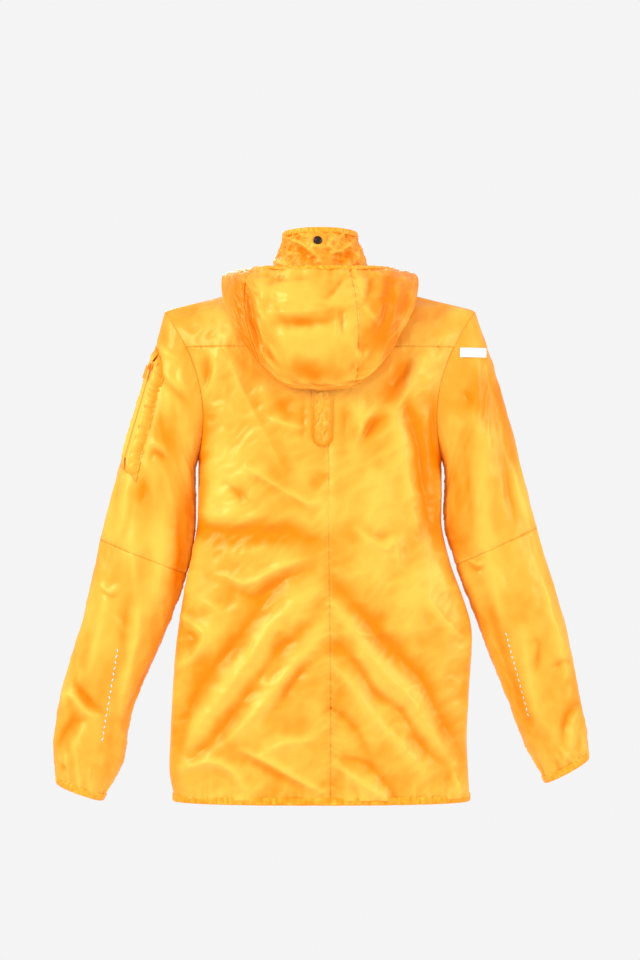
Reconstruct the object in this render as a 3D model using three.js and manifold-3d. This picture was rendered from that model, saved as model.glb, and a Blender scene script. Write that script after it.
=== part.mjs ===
// A light hooded wind-and-rain jacket, hanging as it does on a rail: body panels, stand collar, hood
// laid down the back, sleeves, elastic edges, front zip and one zipped sleeve pocket.
// Millimetres, +Z up. The wearer faces -Y, so the back of the jacket faces +Y and +X is the wearer's left.
// The origin is the underside of the hang loop inside the back of the neck.
// The shapes are written in garment coordinates, with z = 0 at the back neck seam and y = 0 in the plane
// of the shoulder seams. The outermost group moves them to the origin.
import * as THREE from "three";
import { LoftGeometry } from "three/addons/geometries/LoftGeometry.js";
import { mergeVertices } from "three/addons/utils/BufferGeometryUtils.js";
import Module from "manifold-3d";

const wasm = await Module();
wasm.setup();

// ---------------------------------------------------------------- driving dimensions
const CLOTH = 1.6; // thickness of a fabric panel's solid, stiff stand-in for thin cloth
const GAP = 0.5; // between neighbouring pieces
const HEM_Z = -656; // bottom edge of the body panels
const YOKE_Z = -88; // seam between the yoke and the back panels
const NECK_X = 66; // half width of the neck seam
const NECK_BACK = 50; // how far the neck seam lies behind the shoulder seams
const ZIP_Y = -50; // outer face of the fronts along the zip, a straight line
const FRONT_NECK_DROP = 42; // front neck seam below the back neck seam
const TIP = new THREE.Vector3(196, 0, -42); // shoulder tip
const UNDERARM = new THREE.Vector3(154, 0, -228);
const ARMHOLE_HALF_DEPTH = 36;
const ARMHOLE_BOW = 24; // how far the armhole's front and back edges curve in
const ELBOW_V = 0.42; // where the elbow seam crosses the sleeve, as a share of its length
const COLLAR_HEIGHT = 60;
const COLLAR_TOP_X = 47; // half width of the collar's top edge
const COLLAR_TOP_BACK = 43;
const HOOD_END = 152; // the hood's wings end this many degrees round from the back
const HOOD_DROP = 146; // lowest point of the hood below the neck seam
const LOOP = { halfWidth: 22, height: 7, thickness: 1.8, standOff: 3.8, y: 36, z: 6 };
const ZIP = { top: 24, bottom: -646, tooth: 2.2, slit: 0.8, tape: 9.5, y: -46.7 };
const POCKET = { angle: 32, from: 0.1, to: 0.29, lift: 4.6, slot: 5 };

const COLOURS = {
  shell: { color: 0xffb52e, roughness: 0.35, metalness: 0 },
  binding: { color: 0xffa21c, roughness: 0.6, metalness: 0 },
  elastic: { color: 0xf0e6d2, roughness: 0.8, metalness: 0 },
  snap: { color: 0x2b1d18, roughness: 0.3, metalness: 0.6 },
  print: { color: 0xf2f2f2, roughness: 0.4, metalness: 0 },
  zip: { color: 0xff9d1a, roughness: 0.5, metalness: 0 },
  slider: { color: 0xe89018, roughness: 0.35, metalness: 0.4 },
};

// ---------------------------------------------------------------- small helpers
const rad = THREE.MathUtils.degToRad;
const lerp = THREE.MathUtils.lerp;
const smooth = (t) => THREE.MathUtils.smoothstep(t, 0, 1);
const point = (x, y, z) => new THREE.Vector3(x, y, z);
const power = (value, exponent) => Math.sign(value) * Math.abs(value) ** exponent;

// A value that runs smoothly through [position, value] pairs, listed in rising order of position.
function profile(pairs) {
  return (at) => {
    const last = pairs.length - 1;
    if (at <= pairs[0][0]) return pairs[0][1];
    if (at >= pairs[last][0]) return pairs[last][1];
    const i = pairs.findIndex(([p]) => p > at) - 1;
    const [p0, v0] = pairs[i];
    const [p1, v1] = pairs[i + 1];
    const slope = (a, b) => (b[1] - a[1]) / (b[0] - a[0]);
    const m0 = i > 0 ? slope(pairs[i - 1], pairs[i + 1]) : slope(pairs[i], pairs[i + 1]);
    const m1 = i + 2 <= last ? slope(pairs[i], pairs[i + 2]) : slope(pairs[i], pairs[i + 1]);
    const t = (at - p0) / (p1 - p0);
    const h = p1 - p0;
    const a = v0 * (2 * t ** 3 - 3 * t * t + 1) + v1 * (3 * t * t - 2 * t ** 3);
    return a + h * m0 * (t ** 3 - 2 * t * t + t) + h * m1 * (t ** 3 - t * t);
  };
}

// Turns a closed geometry's faces outwards.
function outward(geometry) {
  const p = geometry.attributes.position;
  const index = geometry.index.array;
  const [a, b, c] = [point(), point(), point()];
  let volume = 0;
  for (let i = 0; i < index.length; i += 3) {
    a.fromBufferAttribute(p, index[i]);
    b.fromBufferAttribute(p, index[i + 1]);
    c.fromBufferAttribute(p, index[i + 2]);
    volume += a.dot(b.cross(c));
  }
  if (volume < 0) {
    for (let i = 0; i < index.length; i += 3) {
      [index[i], index[i + 1]] = [index[i + 1], index[i]];
    }
  }
  return geometry;
}

// The outward direction of a surface that is seen from outside with u to one side and v along it.
function normalAt(surface, u, v, side) {
  const e = 1e-3;
  const alongU = surface(u + e, v).sub(surface(u - e, v));
  const alongV = surface(u, v + e).sub(surface(u, v - e));
  return alongU.cross(alongV).normalize().multiplyScalar(side);
}

// Joins coincident corners and drops the faces that have shrunk to a line.
function welded(geometry) {
  const bare = new THREE.BufferGeometry().copy(geometry);
  bare.deleteAttribute("normal");
  bare.deleteAttribute("uv");
  const merged = mergeVertices(bare, 1e-4);
  const corners = merged.index.array;
  const kept = [];
  for (let i = 0; i < corners.length; i += 3) {
    const [a, b, c] = [corners[i], corners[i + 1], corners[i + 2]];
    if (a !== b && b !== c && c !== a) kept.push(a, b, c);
  }
  merged.setIndex(kept);
  return outward(merged);
}

// Closes the end of a loft whose rings run along one face and back along the other: the two faces meet
// halfway through the thickness.
function closing(ring) {
  const last = ring.length - 1;
  return ring.map((p, j) => p.clone().lerp(ring[last - j], 0.5));
}
function loft(rings, round) {
  const all = round ? [...rings, rings[0]] : [closing(rings[0]), ...rings, closing(rings.at(-1))];
  const copies = all.map((ring) => ring.map((p) => p.clone()));
  return welded(new LoftGeometry(copies, { closed: true, capStart: false, capEnd: false }));
}

// A sheet of cloth: the surface itself is its outer face, and its inner face lies a thickness inside.
// side is 1 or -1, whichever makes the thickness grow inwards. offset moves the whole sheet outwards.
function sheet(surface, { u, v, cells, side = 1, thickness = CLOTH, offset = 0, round = false }) {
  const sections = [];
  const steps = round ? cells[0] - 1 : cells[0];
  for (let i = 0; i <= steps; i++) {
    const outer = [];
    const inner = [];
    const across = lerp(u[0], u[1], i / cells[0]);
    for (let j = 0; j <= cells[1]; j++) {
      const along = lerp(v[0], v[1], j / cells[1]);
      const n = normalAt(surface, across, along, side);
      outer.push(surface(across, along).addScaledVector(n, offset));
      inner.unshift(surface(across, along).addScaledVector(n, offset - thickness));
    }
    sections.push([...outer, ...inner]);
  }
  return loft(sections, round);
}

// A section carried along a line of frames {at, out, up}; the section's points are [out, up] pairs.
function rail(frames, section, round = false) {
  const rings = frames.map(({ at, out, up }) =>
    section.map(([o, w]) => at.clone().addScaledVector(out, o).addScaledVector(up, w)),
  );
  return loft(rings, round);
}

// A folded binding is a channel that wraps the cloth's edge; the elastic runs inside it.
const BINDING = { height: 8, thick: 4.4, wall: 0.9 };
function channel() {
  const { height, thick, wall } = BINDING;
  const t = thick / 2;
  return [
    [t, 0],
    [t, -height],
    [-t, -height],
    [-t, 0],
    [-t + wall, 0],
    [-t + wall, -height + wall],
    [t - wall, -height + wall],
    [t - wall, 0],
  ];
}
function elasticTape() {
  const half = BINDING.thick / 2 - BINDING.wall - 0.8;
  const low = -BINDING.height + BINDING.wall + 0.6;
  return [
    [half, -1.2],
    [half, low],
    [-half, low],
    [-half, -1.2],
  ];
}

function solid(geometry) {
  const merged = welded(geometry);
  return new wasm.Manifold(
    new wasm.Mesh({
      numProp: 3,
      vertProperties: merged.attributes.position.array,
      triVerts: new Uint32Array(merged.index.array),
    }),
  );
}
function geometryOf(manifold) {
  const mesh = manifold.getMesh();
  return new THREE.BufferGeometry()
    .setAttribute("position", new THREE.BufferAttribute(mesh.vertProperties, 3))
    .setIndex(new THREE.BufferAttribute(mesh.triVerts, 1));
}
function joined(...geometries) {
  return geometryOf(geometries.map(solid).reduce((a, b) => a.add(b)));
}
function box(wide, deep, high, x = 0, y = 0, z = 0) {
  return new THREE.BoxGeometry(wide, deep, high).translate(x, y, z);
}

const jacket = new THREE.Group();
function piece(name, look, geometry, parent = jacket) {
  const mesh = new THREE.Mesh(geometry, new THREE.MeshStandardMaterial(COLOURS[look]));
  mesh.name = name;
  parent.add(mesh);
  return mesh;
}

// ---------------------------------------------------------------- body
const ROUNDNESS = 2.5; // exponent of the flattened oval
const halfWidth = profile([
  [-656, 183],
  [-600, 187],
  [-520, 186],
  [-435, 175],
  [-354, 158],
  [-290, 153],
  [-230, 154],
  [-160, 164],
  [-88, 184],
]);
const backDepth = profile([
  [-656, 50],
  [-500, 58],
  [-354, 61],
  [-230, 62],
  [-88, 57],
]);

// A point of the body at height z: s is 0 on the centre line and 1 on the side seam.
function bodyPoint(back, s, z) {
  const t = s * (Math.PI / 2);
  const depth = back > 0 ? backDepth(z) : ZIP_Y;
  const wide = halfWidth(z) * power(Math.sin(t), 2 / ROUNDNESS);
  const deep = depth * power(Math.cos(t), 2 / ROUNDNESS);
  return point(wide, deep, z);
}

// The armhole is an upright oval between the underarm and the shoulder tip. angle 0 is the tip.
function armholePoint(angle) {
  const middle = UNDERARM.clone().lerp(TIP, 0.5);
  const arm = TIP.clone().sub(UNDERARM).multiplyScalar(0.5);
  const bow = ARMHOLE_BOW * Math.sin(angle) ** 2;
  const depth = ARMHOLE_HALF_DEPTH * Math.sin(angle);
  return middle.addScaledVector(arm, Math.cos(angle)).add(point(-bow, depth, 0));
}
const armholeAngleAt = (z) =>
  Math.acos(THREE.MathUtils.clamp(lerp(-1, 1, (z - UNDERARM.z) / (TIP.z - UNDERARM.z)), -1, 1));

// The s at which the body meets the armhole at height z.
function armholeShare(back, z) {
  if (z <= UNDERARM.z) return 1;
  const depth = back > 0 ? backDepth(z) : -ZIP_Y;
  const edge = armholePoint(armholeAngleAt(z)).y / depth;
  return Math.acos(Math.min(edge, 1) ** (ROUNDNESS / 2)) / (Math.PI / 2);
}

// Neck seam, angle 0 at the back.
function neckPoint(angle) {
  const front = smooth((Math.abs(angle) - rad(70)) / rad(100));
  return point(
    NECK_X * power(Math.sin(angle), 0.85),
    (Math.cos(angle) > 0 ? NECK_BACK : -ZIP_Y) * power(Math.cos(angle), 0.85),
    -FRONT_NECK_DROP * front - 3 * smooth(Math.abs(angle) / rad(90)),
  );
}

// The top edge of a front or of the yoke: along the neck seam, then along the shoulder seam.
// s is 0 on the centre line, NECK_SHARE at the neck point and 1 at the shoulder tip.
const NECK_SHARE = 0.42;
function topEdge(back, s) {
  const neckSide = neckPoint(rad(90));
  if (s >= NECK_SHARE) return neckSide.lerp(TIP, (s - NECK_SHARE) / (1 - NECK_SHARE));
  const swing = rad(90) * (s / NECK_SHARE);
  return neckPoint(back > 0 ? swing : Math.PI - swing);
}

// One half of the back or front. row runs from 0 at the hem through 1 at the yoke line to 2 at the top edge.
function halfBody(back, s, row) {
  const rowAt = Math.min(row, 1);
  const z = lerp(HEM_Z, YOKE_Z, rowAt);
  const limit = armholeShare(back, z);
  const low = bodyPoint(back, s * limit, z);
  if (z > UNDERARM.z) {
    const edge = bodyPoint(back, limit, z);
    const armhole = armholePoint(armholeAngleAt(z));
    low.x += (armhole.x - edge.x) * s ** 4;
  }
  if (row <= 1) return low;
  const up = row - 1;
  const top = topEdge(back, s);
  const made = low.clone().lerp(top, up);
  const shoulder = smooth((s - 0.2) / 0.35);
  const bulge = 4 * up * (1 - up) * lerp(1, 11, shoulder) * (1 - s ** 6);
  made.y += back * bulge * 0.75;
  made.z += bulge * 0.66;
  if (s > 0.5) {
    // the outer edge follows the armhole
    const edgeZ = lerp(YOKE_Z, TIP.z, up);
    const armhole = armholePoint(armholeAngleAt(edgeZ));
    const straight = low.clone().lerp(top, up);
    const share = ((s - 0.5) / 0.5) ** 2;
    made.x += (armhole.x - straight.x) * share * s ** 8;
    made.y += (back * armhole.y - straight.y) * s ** 12;
  }
  return made;
}

// Below the armholes each side of the body hangs at its own width, the right one further out.
const HUNG_FROM = -240;
const hungWidth = {
  left: profile([
    [-656, 184],
    [-624, 190],
    [-578, 189],
    [-520, 186],
    [-470, 182.5],
    [-435, 178],
    [-395, 171.5],
    [-354, 163],
    [-315, 155.5],
    [-290, 153.8],
    [HUNG_FROM, 153.7],
  ]),
  right: profile([
    [-656, 189],
    [-610, 186.5],
    [-577, 185.5],
    [-523, 188],
    [-460, 192],
    [-434, 190],
    [-400, 179.5],
    [-362, 165.5],
    [-315, 154],
    [-290, 153.3],
    [HUNG_FROM, 153.7],
  ]),
};
function hung(p) {
  if (p.z >= HUNG_FROM) return p;
  const wide = halfWidth(p.z);
  const share = Math.min(1, Math.abs(p.x) / wide) ** 2;
  p.x *= lerp(1, hungWidth[p.x > 0 ? "left" : "right"](p.z) / wide, share);
  return p;
}
const mirrored = (surface, hand) => (u, v) => {
  const p = surface(u, v);
  p.x *= hand;
  return hung(p);
};

// The whole back, from -1 at the wearer's right side to 1 at the left.
const wholeBack = (across, row) => mirrored((s) => halfBody(1, s, row), Math.sign(across) || 1)(Math.abs(across), 0);

const SIDE_GAP = 0.0016; // as a share of s, half the gap at a side seam
const BACK_SEAM = -0.0238; // the centre seam hangs about 13 mm to the wearer's right
for (const [side, hand] of [
  ["left", 1],
  ["right", -1],
]) {
  piece(
    `back_${side}_panel`,
    "shell",
    sheet(wholeBack, {
      u: [BACK_SEAM + 0.0008 * hand, (1 - SIDE_GAP) * hand],
      v: [0.0085, 0.9993],
      cells: [7, 8],
      side: -1,
    }),
  );
  // The fronts stop short of the zip, by the same distance at every height.
  const zipEdge = 5.2;
  const front = (s, row) => {
    const centre = halfBody(-1, s, row);
    centre.x += zipEdge * (1 - s) ** 2;
    return centre;
  };
  // Each front is one cut of cloth, kept as two nodes so that collision follows its curve.
  const CHEST = 0.6;
  for (const [name, v, rows] of [
    ["panel", [0.0085, CHEST - 0.0006], 6],
    ["chest", [CHEST + 0.0006, 1.995], 8],
  ]) {
    piece(
      `front_${side}_${name}`,
      "shell",
      sheet(mirrored(front, hand), { u: [0, 1 - SIDE_GAP], v, cells: [7, rows], side: hand }),
    );
  }
}

// The yoke runs from armhole to armhole round the back of the neck.
const yokeSurface = (across, up) => wholeBack(across, 1 + up);
piece(
  "back_yoke",
  "shell",
  sheet(yokeSurface, { u: [-0.998, 0.998], v: [0.006, 0.985], cells: [16, 4], side: -1 }),
);

// A narrow tape covers the centre back seam on the inside.
function backSeam(across, row) {
  const p = halfBody(1, -BACK_SEAM, row);
  p.x = across - p.x;
  return p;
}
piece(
  "centre_back_seam_tape",
  "binding",
  sheet(backSeam, { u: [-5, 5], v: [0.02, 0.99], cells: [1, 8], side: -1, thickness: 0.8, offset: -CLOTH - 0.6 }),
);

// ---------------------------------------------------------------- edges with elastic
function framesAlong(curve, count, from = 0, to = 1, up = point(0, 0, 1)) {
  const frames = [];
  for (let i = 0; i < count; i++) {
    const t = lerp(from, to, i / (count - 1));
    const at = curve(t);
    const along = curve(t + 1e-4)
      .sub(curve(t - 1e-4))
      .normalize();
    const rise = typeof up === "function" ? up(t) : up;
    const out = along.clone().cross(rise).normalize();
    frames.push({ at, out, up: out.clone().cross(along).normalize() });
  }
  return frames;
}

// The hem from the left zip edge round the back to the right zip edge.
function hemLine(t) {
  const turn = t * 2; // 0 to 1 on the left, 1 to 2 on the right
  const hand = turn < 1 ? 1 : -1;
  const part = turn < 1 ? turn : 2 - turn;
  const front = part < 0.5;
  const s = front ? part * 2 : 2 - part * 2;
  const p = bodyPoint(front ? -1 : 1, s, HEM_Z + 6);
  p.x *= hand;
  hung(p);
  p.z = HEM_Z + 4;
  return p;
}
const HEM_STEPS = 29;
const HEM_START = 0.0045; // leaves the zip clear at the centre front
const hemFrames = framesAlong(hemLine, HEM_STEPS, HEM_START, 1 - HEM_START);
piece("hem_binding", "binding", rail(hemFrames, channel()));
piece("hem_elastic", "elastic", rail(hemFrames, elasticTape()));

// ---------------------------------------------------------------- collar
// angle 0 at the back, up 0 at the neck seam and 1 at the top edge.
function collarSurface(angle, up) {
  const base = neckPoint(angle);
  const shrinkX = lerp(1, COLLAR_TOP_X / NECK_X, up);
  const shrinkBack = lerp(1, COLLAR_TOP_BACK / NECK_BACK, up);
  base.x *= shrinkX;
  if (base.y > 0) base.y *= shrinkBack;
  base.z += 2 + up * (COLLAR_HEIGHT - 2 + 18 * smooth((Math.abs(angle) - rad(90)) / rad(90)));
  return base;
}
const COLLAR_END = rad(175.2);
piece(
  "collar_shell",
  "shell",
  sheet(collarSurface, { u: [-COLLAR_END, COLLAR_END], v: [0, 0.93], cells: [22, 2], side: -1, thickness: 1.2 }),
);
piece(
  "collar_facing",
  "shell",
  sheet(collarSurface, {
    u: [-rad(162), rad(162)],
    v: [0.04, 0.9],
    cells: [20, 1],
    side: -1,
    thickness: 1.2,
    offset: -2.4,
  }),
);
const collarTop = (t) => collarSurface(lerp(COLLAR_END, -COLLAR_END, t), 1).add(point(0, 0, -3));
const collarFrames = framesAlong(collarTop, 21, 0.001, 0.999, point(0, 0, -1));
const shallow = (section) => section.map(([o, w]) => [o * 0.7, w * 0.85]);
piece("collar_binding", "binding", rail(collarFrames, shallow(channel())));
piece("collar_elastic", "elastic", rail(collarFrames, shallow(elasticTape())));

// The hang loop: a flat tape that stands off the back of the neck, sewn down at both ends.
function hangLoop() {
  const { halfWidth: half, height, thickness, standOff, y, z } = LOOP;
  const back = y + standOff;
  const t = thickness / 2;
  const rows = [
    [-half - 5, back],
    [-half, back],
    [-half + 7, y],
    [half - 7, y],
    [half, back],
    [half + 5, back],
  ];
  const shape = new THREE.Shape([
    ...rows.map(([x, at]) => new THREE.Vector2(x, at - t)),
    ...rows.reverse().map(([x, at]) => new THREE.Vector2(x, at + t)),
  ]);
  return new THREE.ExtrudeGeometry(shape, { depth: height, bevelEnabled: false }).translate(0, 0, z);
}
piece("hang_loop", "binding", hangLoop());
piece("care_label", "print", box(34, 0.6, 17, 0, 39.6, 25));

// Press stud on the back of the collar: a dark cap outside, a socket ring inside.
const turned = (pairs) => new THREE.LatheGeometry(pairs.map(([r, h]) => new THREE.Vector2(r, h)), 12);
const SNAP = { x: 3, z: 44, radius: 5.4 };
const CAP = [
  [0, 0],
  [SNAP.radius, 0],
  [SNAP.radius, 0.5],
  [5, 1.5],
  [4.2, 2],
  [0, 2.2],
];
piece("collar_snap_cap", "snap", welded(turned(CAP).translate(SNAP.x, 46.1, SNAP.z)));
const SOCKET = [
  [2.2, 0],
  [5, 0],
  [5, 1.1],
  [2.2, 1.1],
  [2.2, 0],
];
piece("collar_snap_socket", "snap", welded(turned(SOCKET).translate(SNAP.x, 38.6, SNAP.z)));

// ---------------------------------------------------------------- hood
// The hood lies down the back as a pouch. From the neck seam its inner layer runs out over the yoke to a
// fold, and its outer layer comes back up to the rim beside the collar.
// Each row: degrees round from the back, then the fold's x, y and z.
const FOLD = [
  [0, 0, 70, -144],
  [18, 44, 71, -137],
  [36, 78, 70, -105],
  [52, 101, 60, -62],
  [68, 115, 38, -28],
  [90, 116, 6, -2],
  [115, 92, -38, -20],
  [135, 66, -60, -36],
  [HOOD_END, 40, -63, -46],
];
const foldAxis = [1, 2, 3].map((k) => profile(FOLD.map((row) => [row[0], row[k]])));
function hoodPath(angle) {
  const turn = THREE.MathUtils.radToDeg(Math.abs(angle));
  const hand = Math.sign(angle) || 1;
  const neck = neckPoint(Math.abs(angle));
  const out = point(Math.sin(Math.abs(angle)), Math.cos(angle), 0);
  const start = neck.clone().addScaledVector(out, 6).add(point(0, 0, 2));
  const fold = point(foldAxis[0](turn), foldAxis[1](turn), foldAxis[2](turn));
  const rim = neck.clone().addScaledVector(out, lerp(20, 13, turn / HOOD_END));
  rim.z += lerp(12, 20, smooth(turn / HOOD_END));
  const swell = lerp(26, 7, smooth(turn / 120));
  const low = start.clone().lerp(fold, 0.55).addScaledVector(out, 1.5);
  const high = fold.clone().lerp(rim, 0.5).addScaledVector(out, swell * 0.8).add(point(0, 0, swell * 0.5));
  const turnUp = fold.clone().addScaledVector(out, swell * 0.45).add(point(0, 0, 6));
  const path = new THREE.CatmullRomCurve3([start, low, fold, turnUp, high, rim]);
  return (t) => {
    const p = path.getPoint(THREE.MathUtils.clamp(t, 0, 1));
    p.x *= hand;
    return p;
  };
}
const hoodSurface = (angle, along) => hoodPath(angle)(along);
const HOOD_GAP = 0.35;
// Degrees round from the back, along the cloth from the neck seam over the fold to the rim. The left
// seam leans in towards the bottom of the pouch; the right one runs almost straight down.
const leftSeam = profile([
  [0, 30],
  [0.3, 26],
  [0.5, 22],
  [0.62, 31],
  [0.75, 45],
  [0.88, 56],
  [1, 62],
]);
const rightSeam = profile([
  [0, -16],
  [0.5, -16],
  [1, -22],
]);
const hoodSheet = (from, to, cells) =>
  sheet((u, t) => hoodSurface(rad(lerp(from(t), to(t), u)), t), { u: [0, 1], v: [0.01, 0.975], cells, side: -1 });
piece(
  "hood_centre_panel",
  "shell",
  hoodSheet((t) => rightSeam(t) + HOOD_GAP, (t) => leftSeam(t) - HOOD_GAP, [6, 14]),
);
piece("hood_left_panel", "shell", hoodSheet((t) => leftSeam(t) + HOOD_GAP, () => HOOD_END, [9, 14]));
piece("hood_right_panel", "shell", hoodSheet(() => -HOOD_END, (t) => rightSeam(t) - HOOD_GAP, [9, 12]));
const rimLine = (t) => hoodSurface(rad(lerp(-HOOD_END, HOOD_END, t)), 0.985);
const rimFrames = framesAlong(rimLine, 25, 0.002, 0.998, (t) => {
  const angle = rad(lerp(-HOOD_END, HOOD_END, t));
  return hoodSurface(angle, 0.9).sub(hoodSurface(angle, 0.985)).normalize();
});
piece("hood_rim_binding", "binding", rail(rimFrames, channel()));
piece("hood_rim_elastic", "elastic", rail(rimFrames, elasticTape()));

// The strap that holds the rolled hood hangs down the back, under the hood, from the neck seam.
const STRAP = { x: -3, half: 13, top: -14, bottom: -212, thick: 1.6 };
function strapSurface(across, t) {
  const z = lerp(STRAP.bottom, STRAP.top, t);
  const row = z > YOKE_Z ? 1 + (z - YOKE_Z) / -YOKE_Z : (z - HEM_Z) / (YOKE_Z - HEM_Z);
  const y = halfBody(1, 0.02, row).y;
  const end = 1 - smooth((t * (STRAP.top - STRAP.bottom)) / 12);
  return point(STRAP.x + across * STRAP.half * (1 - 0.35 * end * end), y + 2.9, z);
}
piece(
  "hood_strap",
  "binding",
  sheet(strapSurface, { u: [-1, 1], v: [0, 1], cells: [2, 10], side: -1, thickness: STRAP.thick }),
);

// ---------------------------------------------------------------- sleeves
// Each row: share of the length, outer edge's x and z, inner edge's x and z.
const SLEEVE_EDGES = {
  left: [
    [0, 196, -42, 155.6, -229],
    [0.14, 217, -118, 157.5, -262],
    [0.28, 246, -212, 158, -315],
    [0.42, 278, -330, 169, -373],
    [0.58, 302, -432, 198, -453],
    [0.74, 328, -524, 238, -546],
    [0.88, 339, -596, 250, -612],
    [1, 334, -638, 276, -660],
  ],
  right: [
    [0, 196, -42, 155.6, -229],
    [0.14, 222, -118, 157.5, -262],
    [0.28, 246, -208, 158, -315],
    [0.42, 274, -315, 172, -362],
    [0.58, 303, -412, 199, -434],
    [0.74, 326, -510, 232, -518],
    [0.88, 339, -572, 258, -584],
    [1, 341, -606, 286, -638],
  ],
};
const sleeveDepth = profile([
  [0, ARMHOLE_HALF_DEPTH],
  [0.2, 35],
  [0.42, 31],
  [0.74, 27],
  [0.9, 26],
  [1, 22],
]);
function sleeveSurface(side) {
  const rows = SLEEVE_EDGES[side];
  const edge = [1, 2, 3, 4].map((k) => profile(rows.map((row) => [row[0], row[k]])));
  const hand = side === "left" ? 1 : -1;
  return (angle, v) => {
    const outer = point(edge[0](v), -14 * v * v, edge[1](v));
    const inner = point(edge[2](v), -14 * v * v, edge[3](v));
    const middle = outer.clone().lerp(inner, 0.5);
    const arm = outer.sub(middle);
    const round = Math.sin(angle) ** 2;
    middle.addScaledVector(arm, Math.cos(angle));
    middle.x -= ARMHOLE_BOW * round * Math.max(1 - v / 0.14, 0) ** 2;
    middle.y += sleeveDepth(v) * power(Math.sin(angle), 0.9);
    middle.x *= hand;
    return middle;
  };
}
const TURN = 2 * Math.PI;
const SHIFT = 0.13; // keeps the mesh's corners off the sleeve's two edge lines
for (const [side, hand] of [
  ["left", 1],
  ["right", -1],
]) {
  const cloth = sleeveSurface(side);
  const tube = (from, to, cells) =>
    sheet(cloth, { u: [SHIFT, SHIFT + TURN], v: [from, to], cells, side: -hand, round: true });
  const upper = tube(0.008, ELBOW_V - 0.0012, [18, 6]);
  piece(`upper_sleeve_${side}`, "shell", side === "left" ? withPocketSlot(upper, cloth) : upper);
  piece(`forearm_sleeve_${side}`, "shell", tube(ELBOW_V + 0.0012, 0.99, [18, 7]));

  const cuffLine = (t) => cloth(SHIFT + TURN * t, 0.992);
  const towardsCloth = (t) => cloth(SHIFT + TURN * t, 0.95).sub(cuffLine(t)).normalize();
  const cuffFrames = framesAlong(cuffLine, 18, 0, 17 / 18, towardsCloth);
  piece(`cuff_binding_${side}`, "binding", rail(cuffFrames, channel(), true));
  piece(`cuff_elastic_${side}`, "elastic", rail(cuffFrames, elasticTape(), true));

  const armholeTape = (t) => {
    const middle = UNDERARM.clone().lerp(TIP, 0.5);
    const p = armholePoint(TURN * t).sub(middle).multiplyScalar(0.9).add(middle);
    p.x = (p.x - 5) * hand;
    p.y *= 0.9;
    return p;
  };
  const tapeFrames = framesAlong(armholeTape, 18, 0, 17 / 18, point(-hand, 0, 0));
  const tape = [
    [0.5, 0],
    [0.5, 6],
    [-0.5, 6],
    [-0.5, 0],
  ];
  piece(`armhole_seam_tape_${side}`, "binding", rail(tapeFrames, tape, true));
}

// The place on a sleeve, as angle and v, that is seen from behind at a given x and z.
function placeOn(cloth, x, z, angle, v) {
  const e = 1e-4;
  for (let step = 0; step < 12; step++) {
    const p = cloth(angle, v);
    const a = cloth(angle + e, v).sub(p).divideScalar(e);
    const b = cloth(angle, v + e).sub(p).divideScalar(e);
    const area = a.x * b.z - b.x * a.z;
    const [dx, dz] = [x - p.x, z - p.z];
    angle += (dx * b.z - b.x * dz) / area;
    v += (a.x * dz - dx * a.z) / area;
  }
  return cloth(angle, v);
}

// The blank name patch lies level across the right upper sleeve.
const rightSleeve = sleeveSurface("right");
const patchSurface = (across, up) =>
  placeOn(rightSleeve, lerp(-176, -207, across), lerp(-101, -89, up), rad(50), 0.07);
piece(
  "sleeve_patch",
  "print",
  sheet(patchSurface, { u: [0, 1], v: [0, 1], cells: [4, 1], side: 1, thickness: 0.5, offset: 2 }),
);

// ---------------------------------------------------------------- zips
// A zip's frame: x across the chain, y out of the cloth, z along the chain towards the closed end.
function zipSide(hand, length, width) {
  const bead = box(ZIP.tooth, 2.6, length, hand * (ZIP.slit + ZIP.tooth) * 0.5, 0, -length / 2);
  const tape = box(width, 0.9, length, hand * (ZIP.slit / 2 + ZIP.tooth + width / 2 - 0.4), 0, -length / 2);
  return joined(bead, tape);
}
function slider(wide, high) {
  const plates = [2.9, -2.3].map((y) => box(wide, 1.2, high, 0, y, 0));
  const blade = box(0.3, 5.6, high * 0.8, 0, 0.3, 0);
  const bridge = joined(box(2.2, 1.6, 2, 0, 4.1, 3), box(2.2, 1.2, 7, 0, 5.3, 0.5));
  return joined(...plates, blade, bridge);
}
// A flat tab that hangs on its eye: the eye is at the origin and the tab lies in the x-z plane.
function puller(wide, long) {
  const half = wide / 2;
  const shape = new THREE.Shape()
    .moveTo(-half * 0.7, 1.3)
    .lineTo(half * 0.7, 1.3)
    .lineTo(half, -long + 3)
    .quadraticCurveTo(half, -long, 0, -long)
    .quadraticCurveTo(-half, -long, -half, -long + 3)
    .closePath();
  const drawn = new THREE.ExtrudeGeometry(shape, { depth: 1, bevelEnabled: false, curveSegments: 6 });
  return drawn.rotateX(Math.PI / 2);
}
function placed(geometry, frame) {
  return geometry.clone().applyMatrix4(frame);
}
function zipFrame(at, out, up) {
  const across = out.clone().cross(up).normalize();
  const outTrue = up.clone().cross(across).normalize();
  return new THREE.Matrix4().makeBasis(across, outTrue, up).setPosition(at);
}

// Front zip. Its frame stands at the top of the chain, with y towards the wearer's front.
const frontFrame = zipFrame(point(0, ZIP.y, ZIP.top), point(0, -1, 0), point(0, 0, 1));
const frontLength = ZIP.top - ZIP.bottom;
piece("front_zip_left_side", "zip", placed(zipSide(-1, frontLength, ZIP.tape), frontFrame));
piece("front_zip_right_side", "zip", placed(zipSide(1, frontLength, ZIP.tape), frontFrame));
const sliderFrame = zipFrame(point(0, ZIP.y, ZIP.top - 8), point(0, -1, 0), point(0, 0, 1));
piece("front_zip_slider", "slider", placed(slider(8, 10), sliderFrame));
const pullerFrame = zipFrame(point(0, ZIP.y - 8.2, ZIP.top - 9), point(0, -1, 0), point(0, 0, 1));
piece("front_zip_puller", "slider", placed(puller(6, 24), pullerFrame));
piece("front_zip_bottom_box", "slider", box(7.4, 4, 6, 0, ZIP.y, ZIP.bottom - 3.4));
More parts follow.
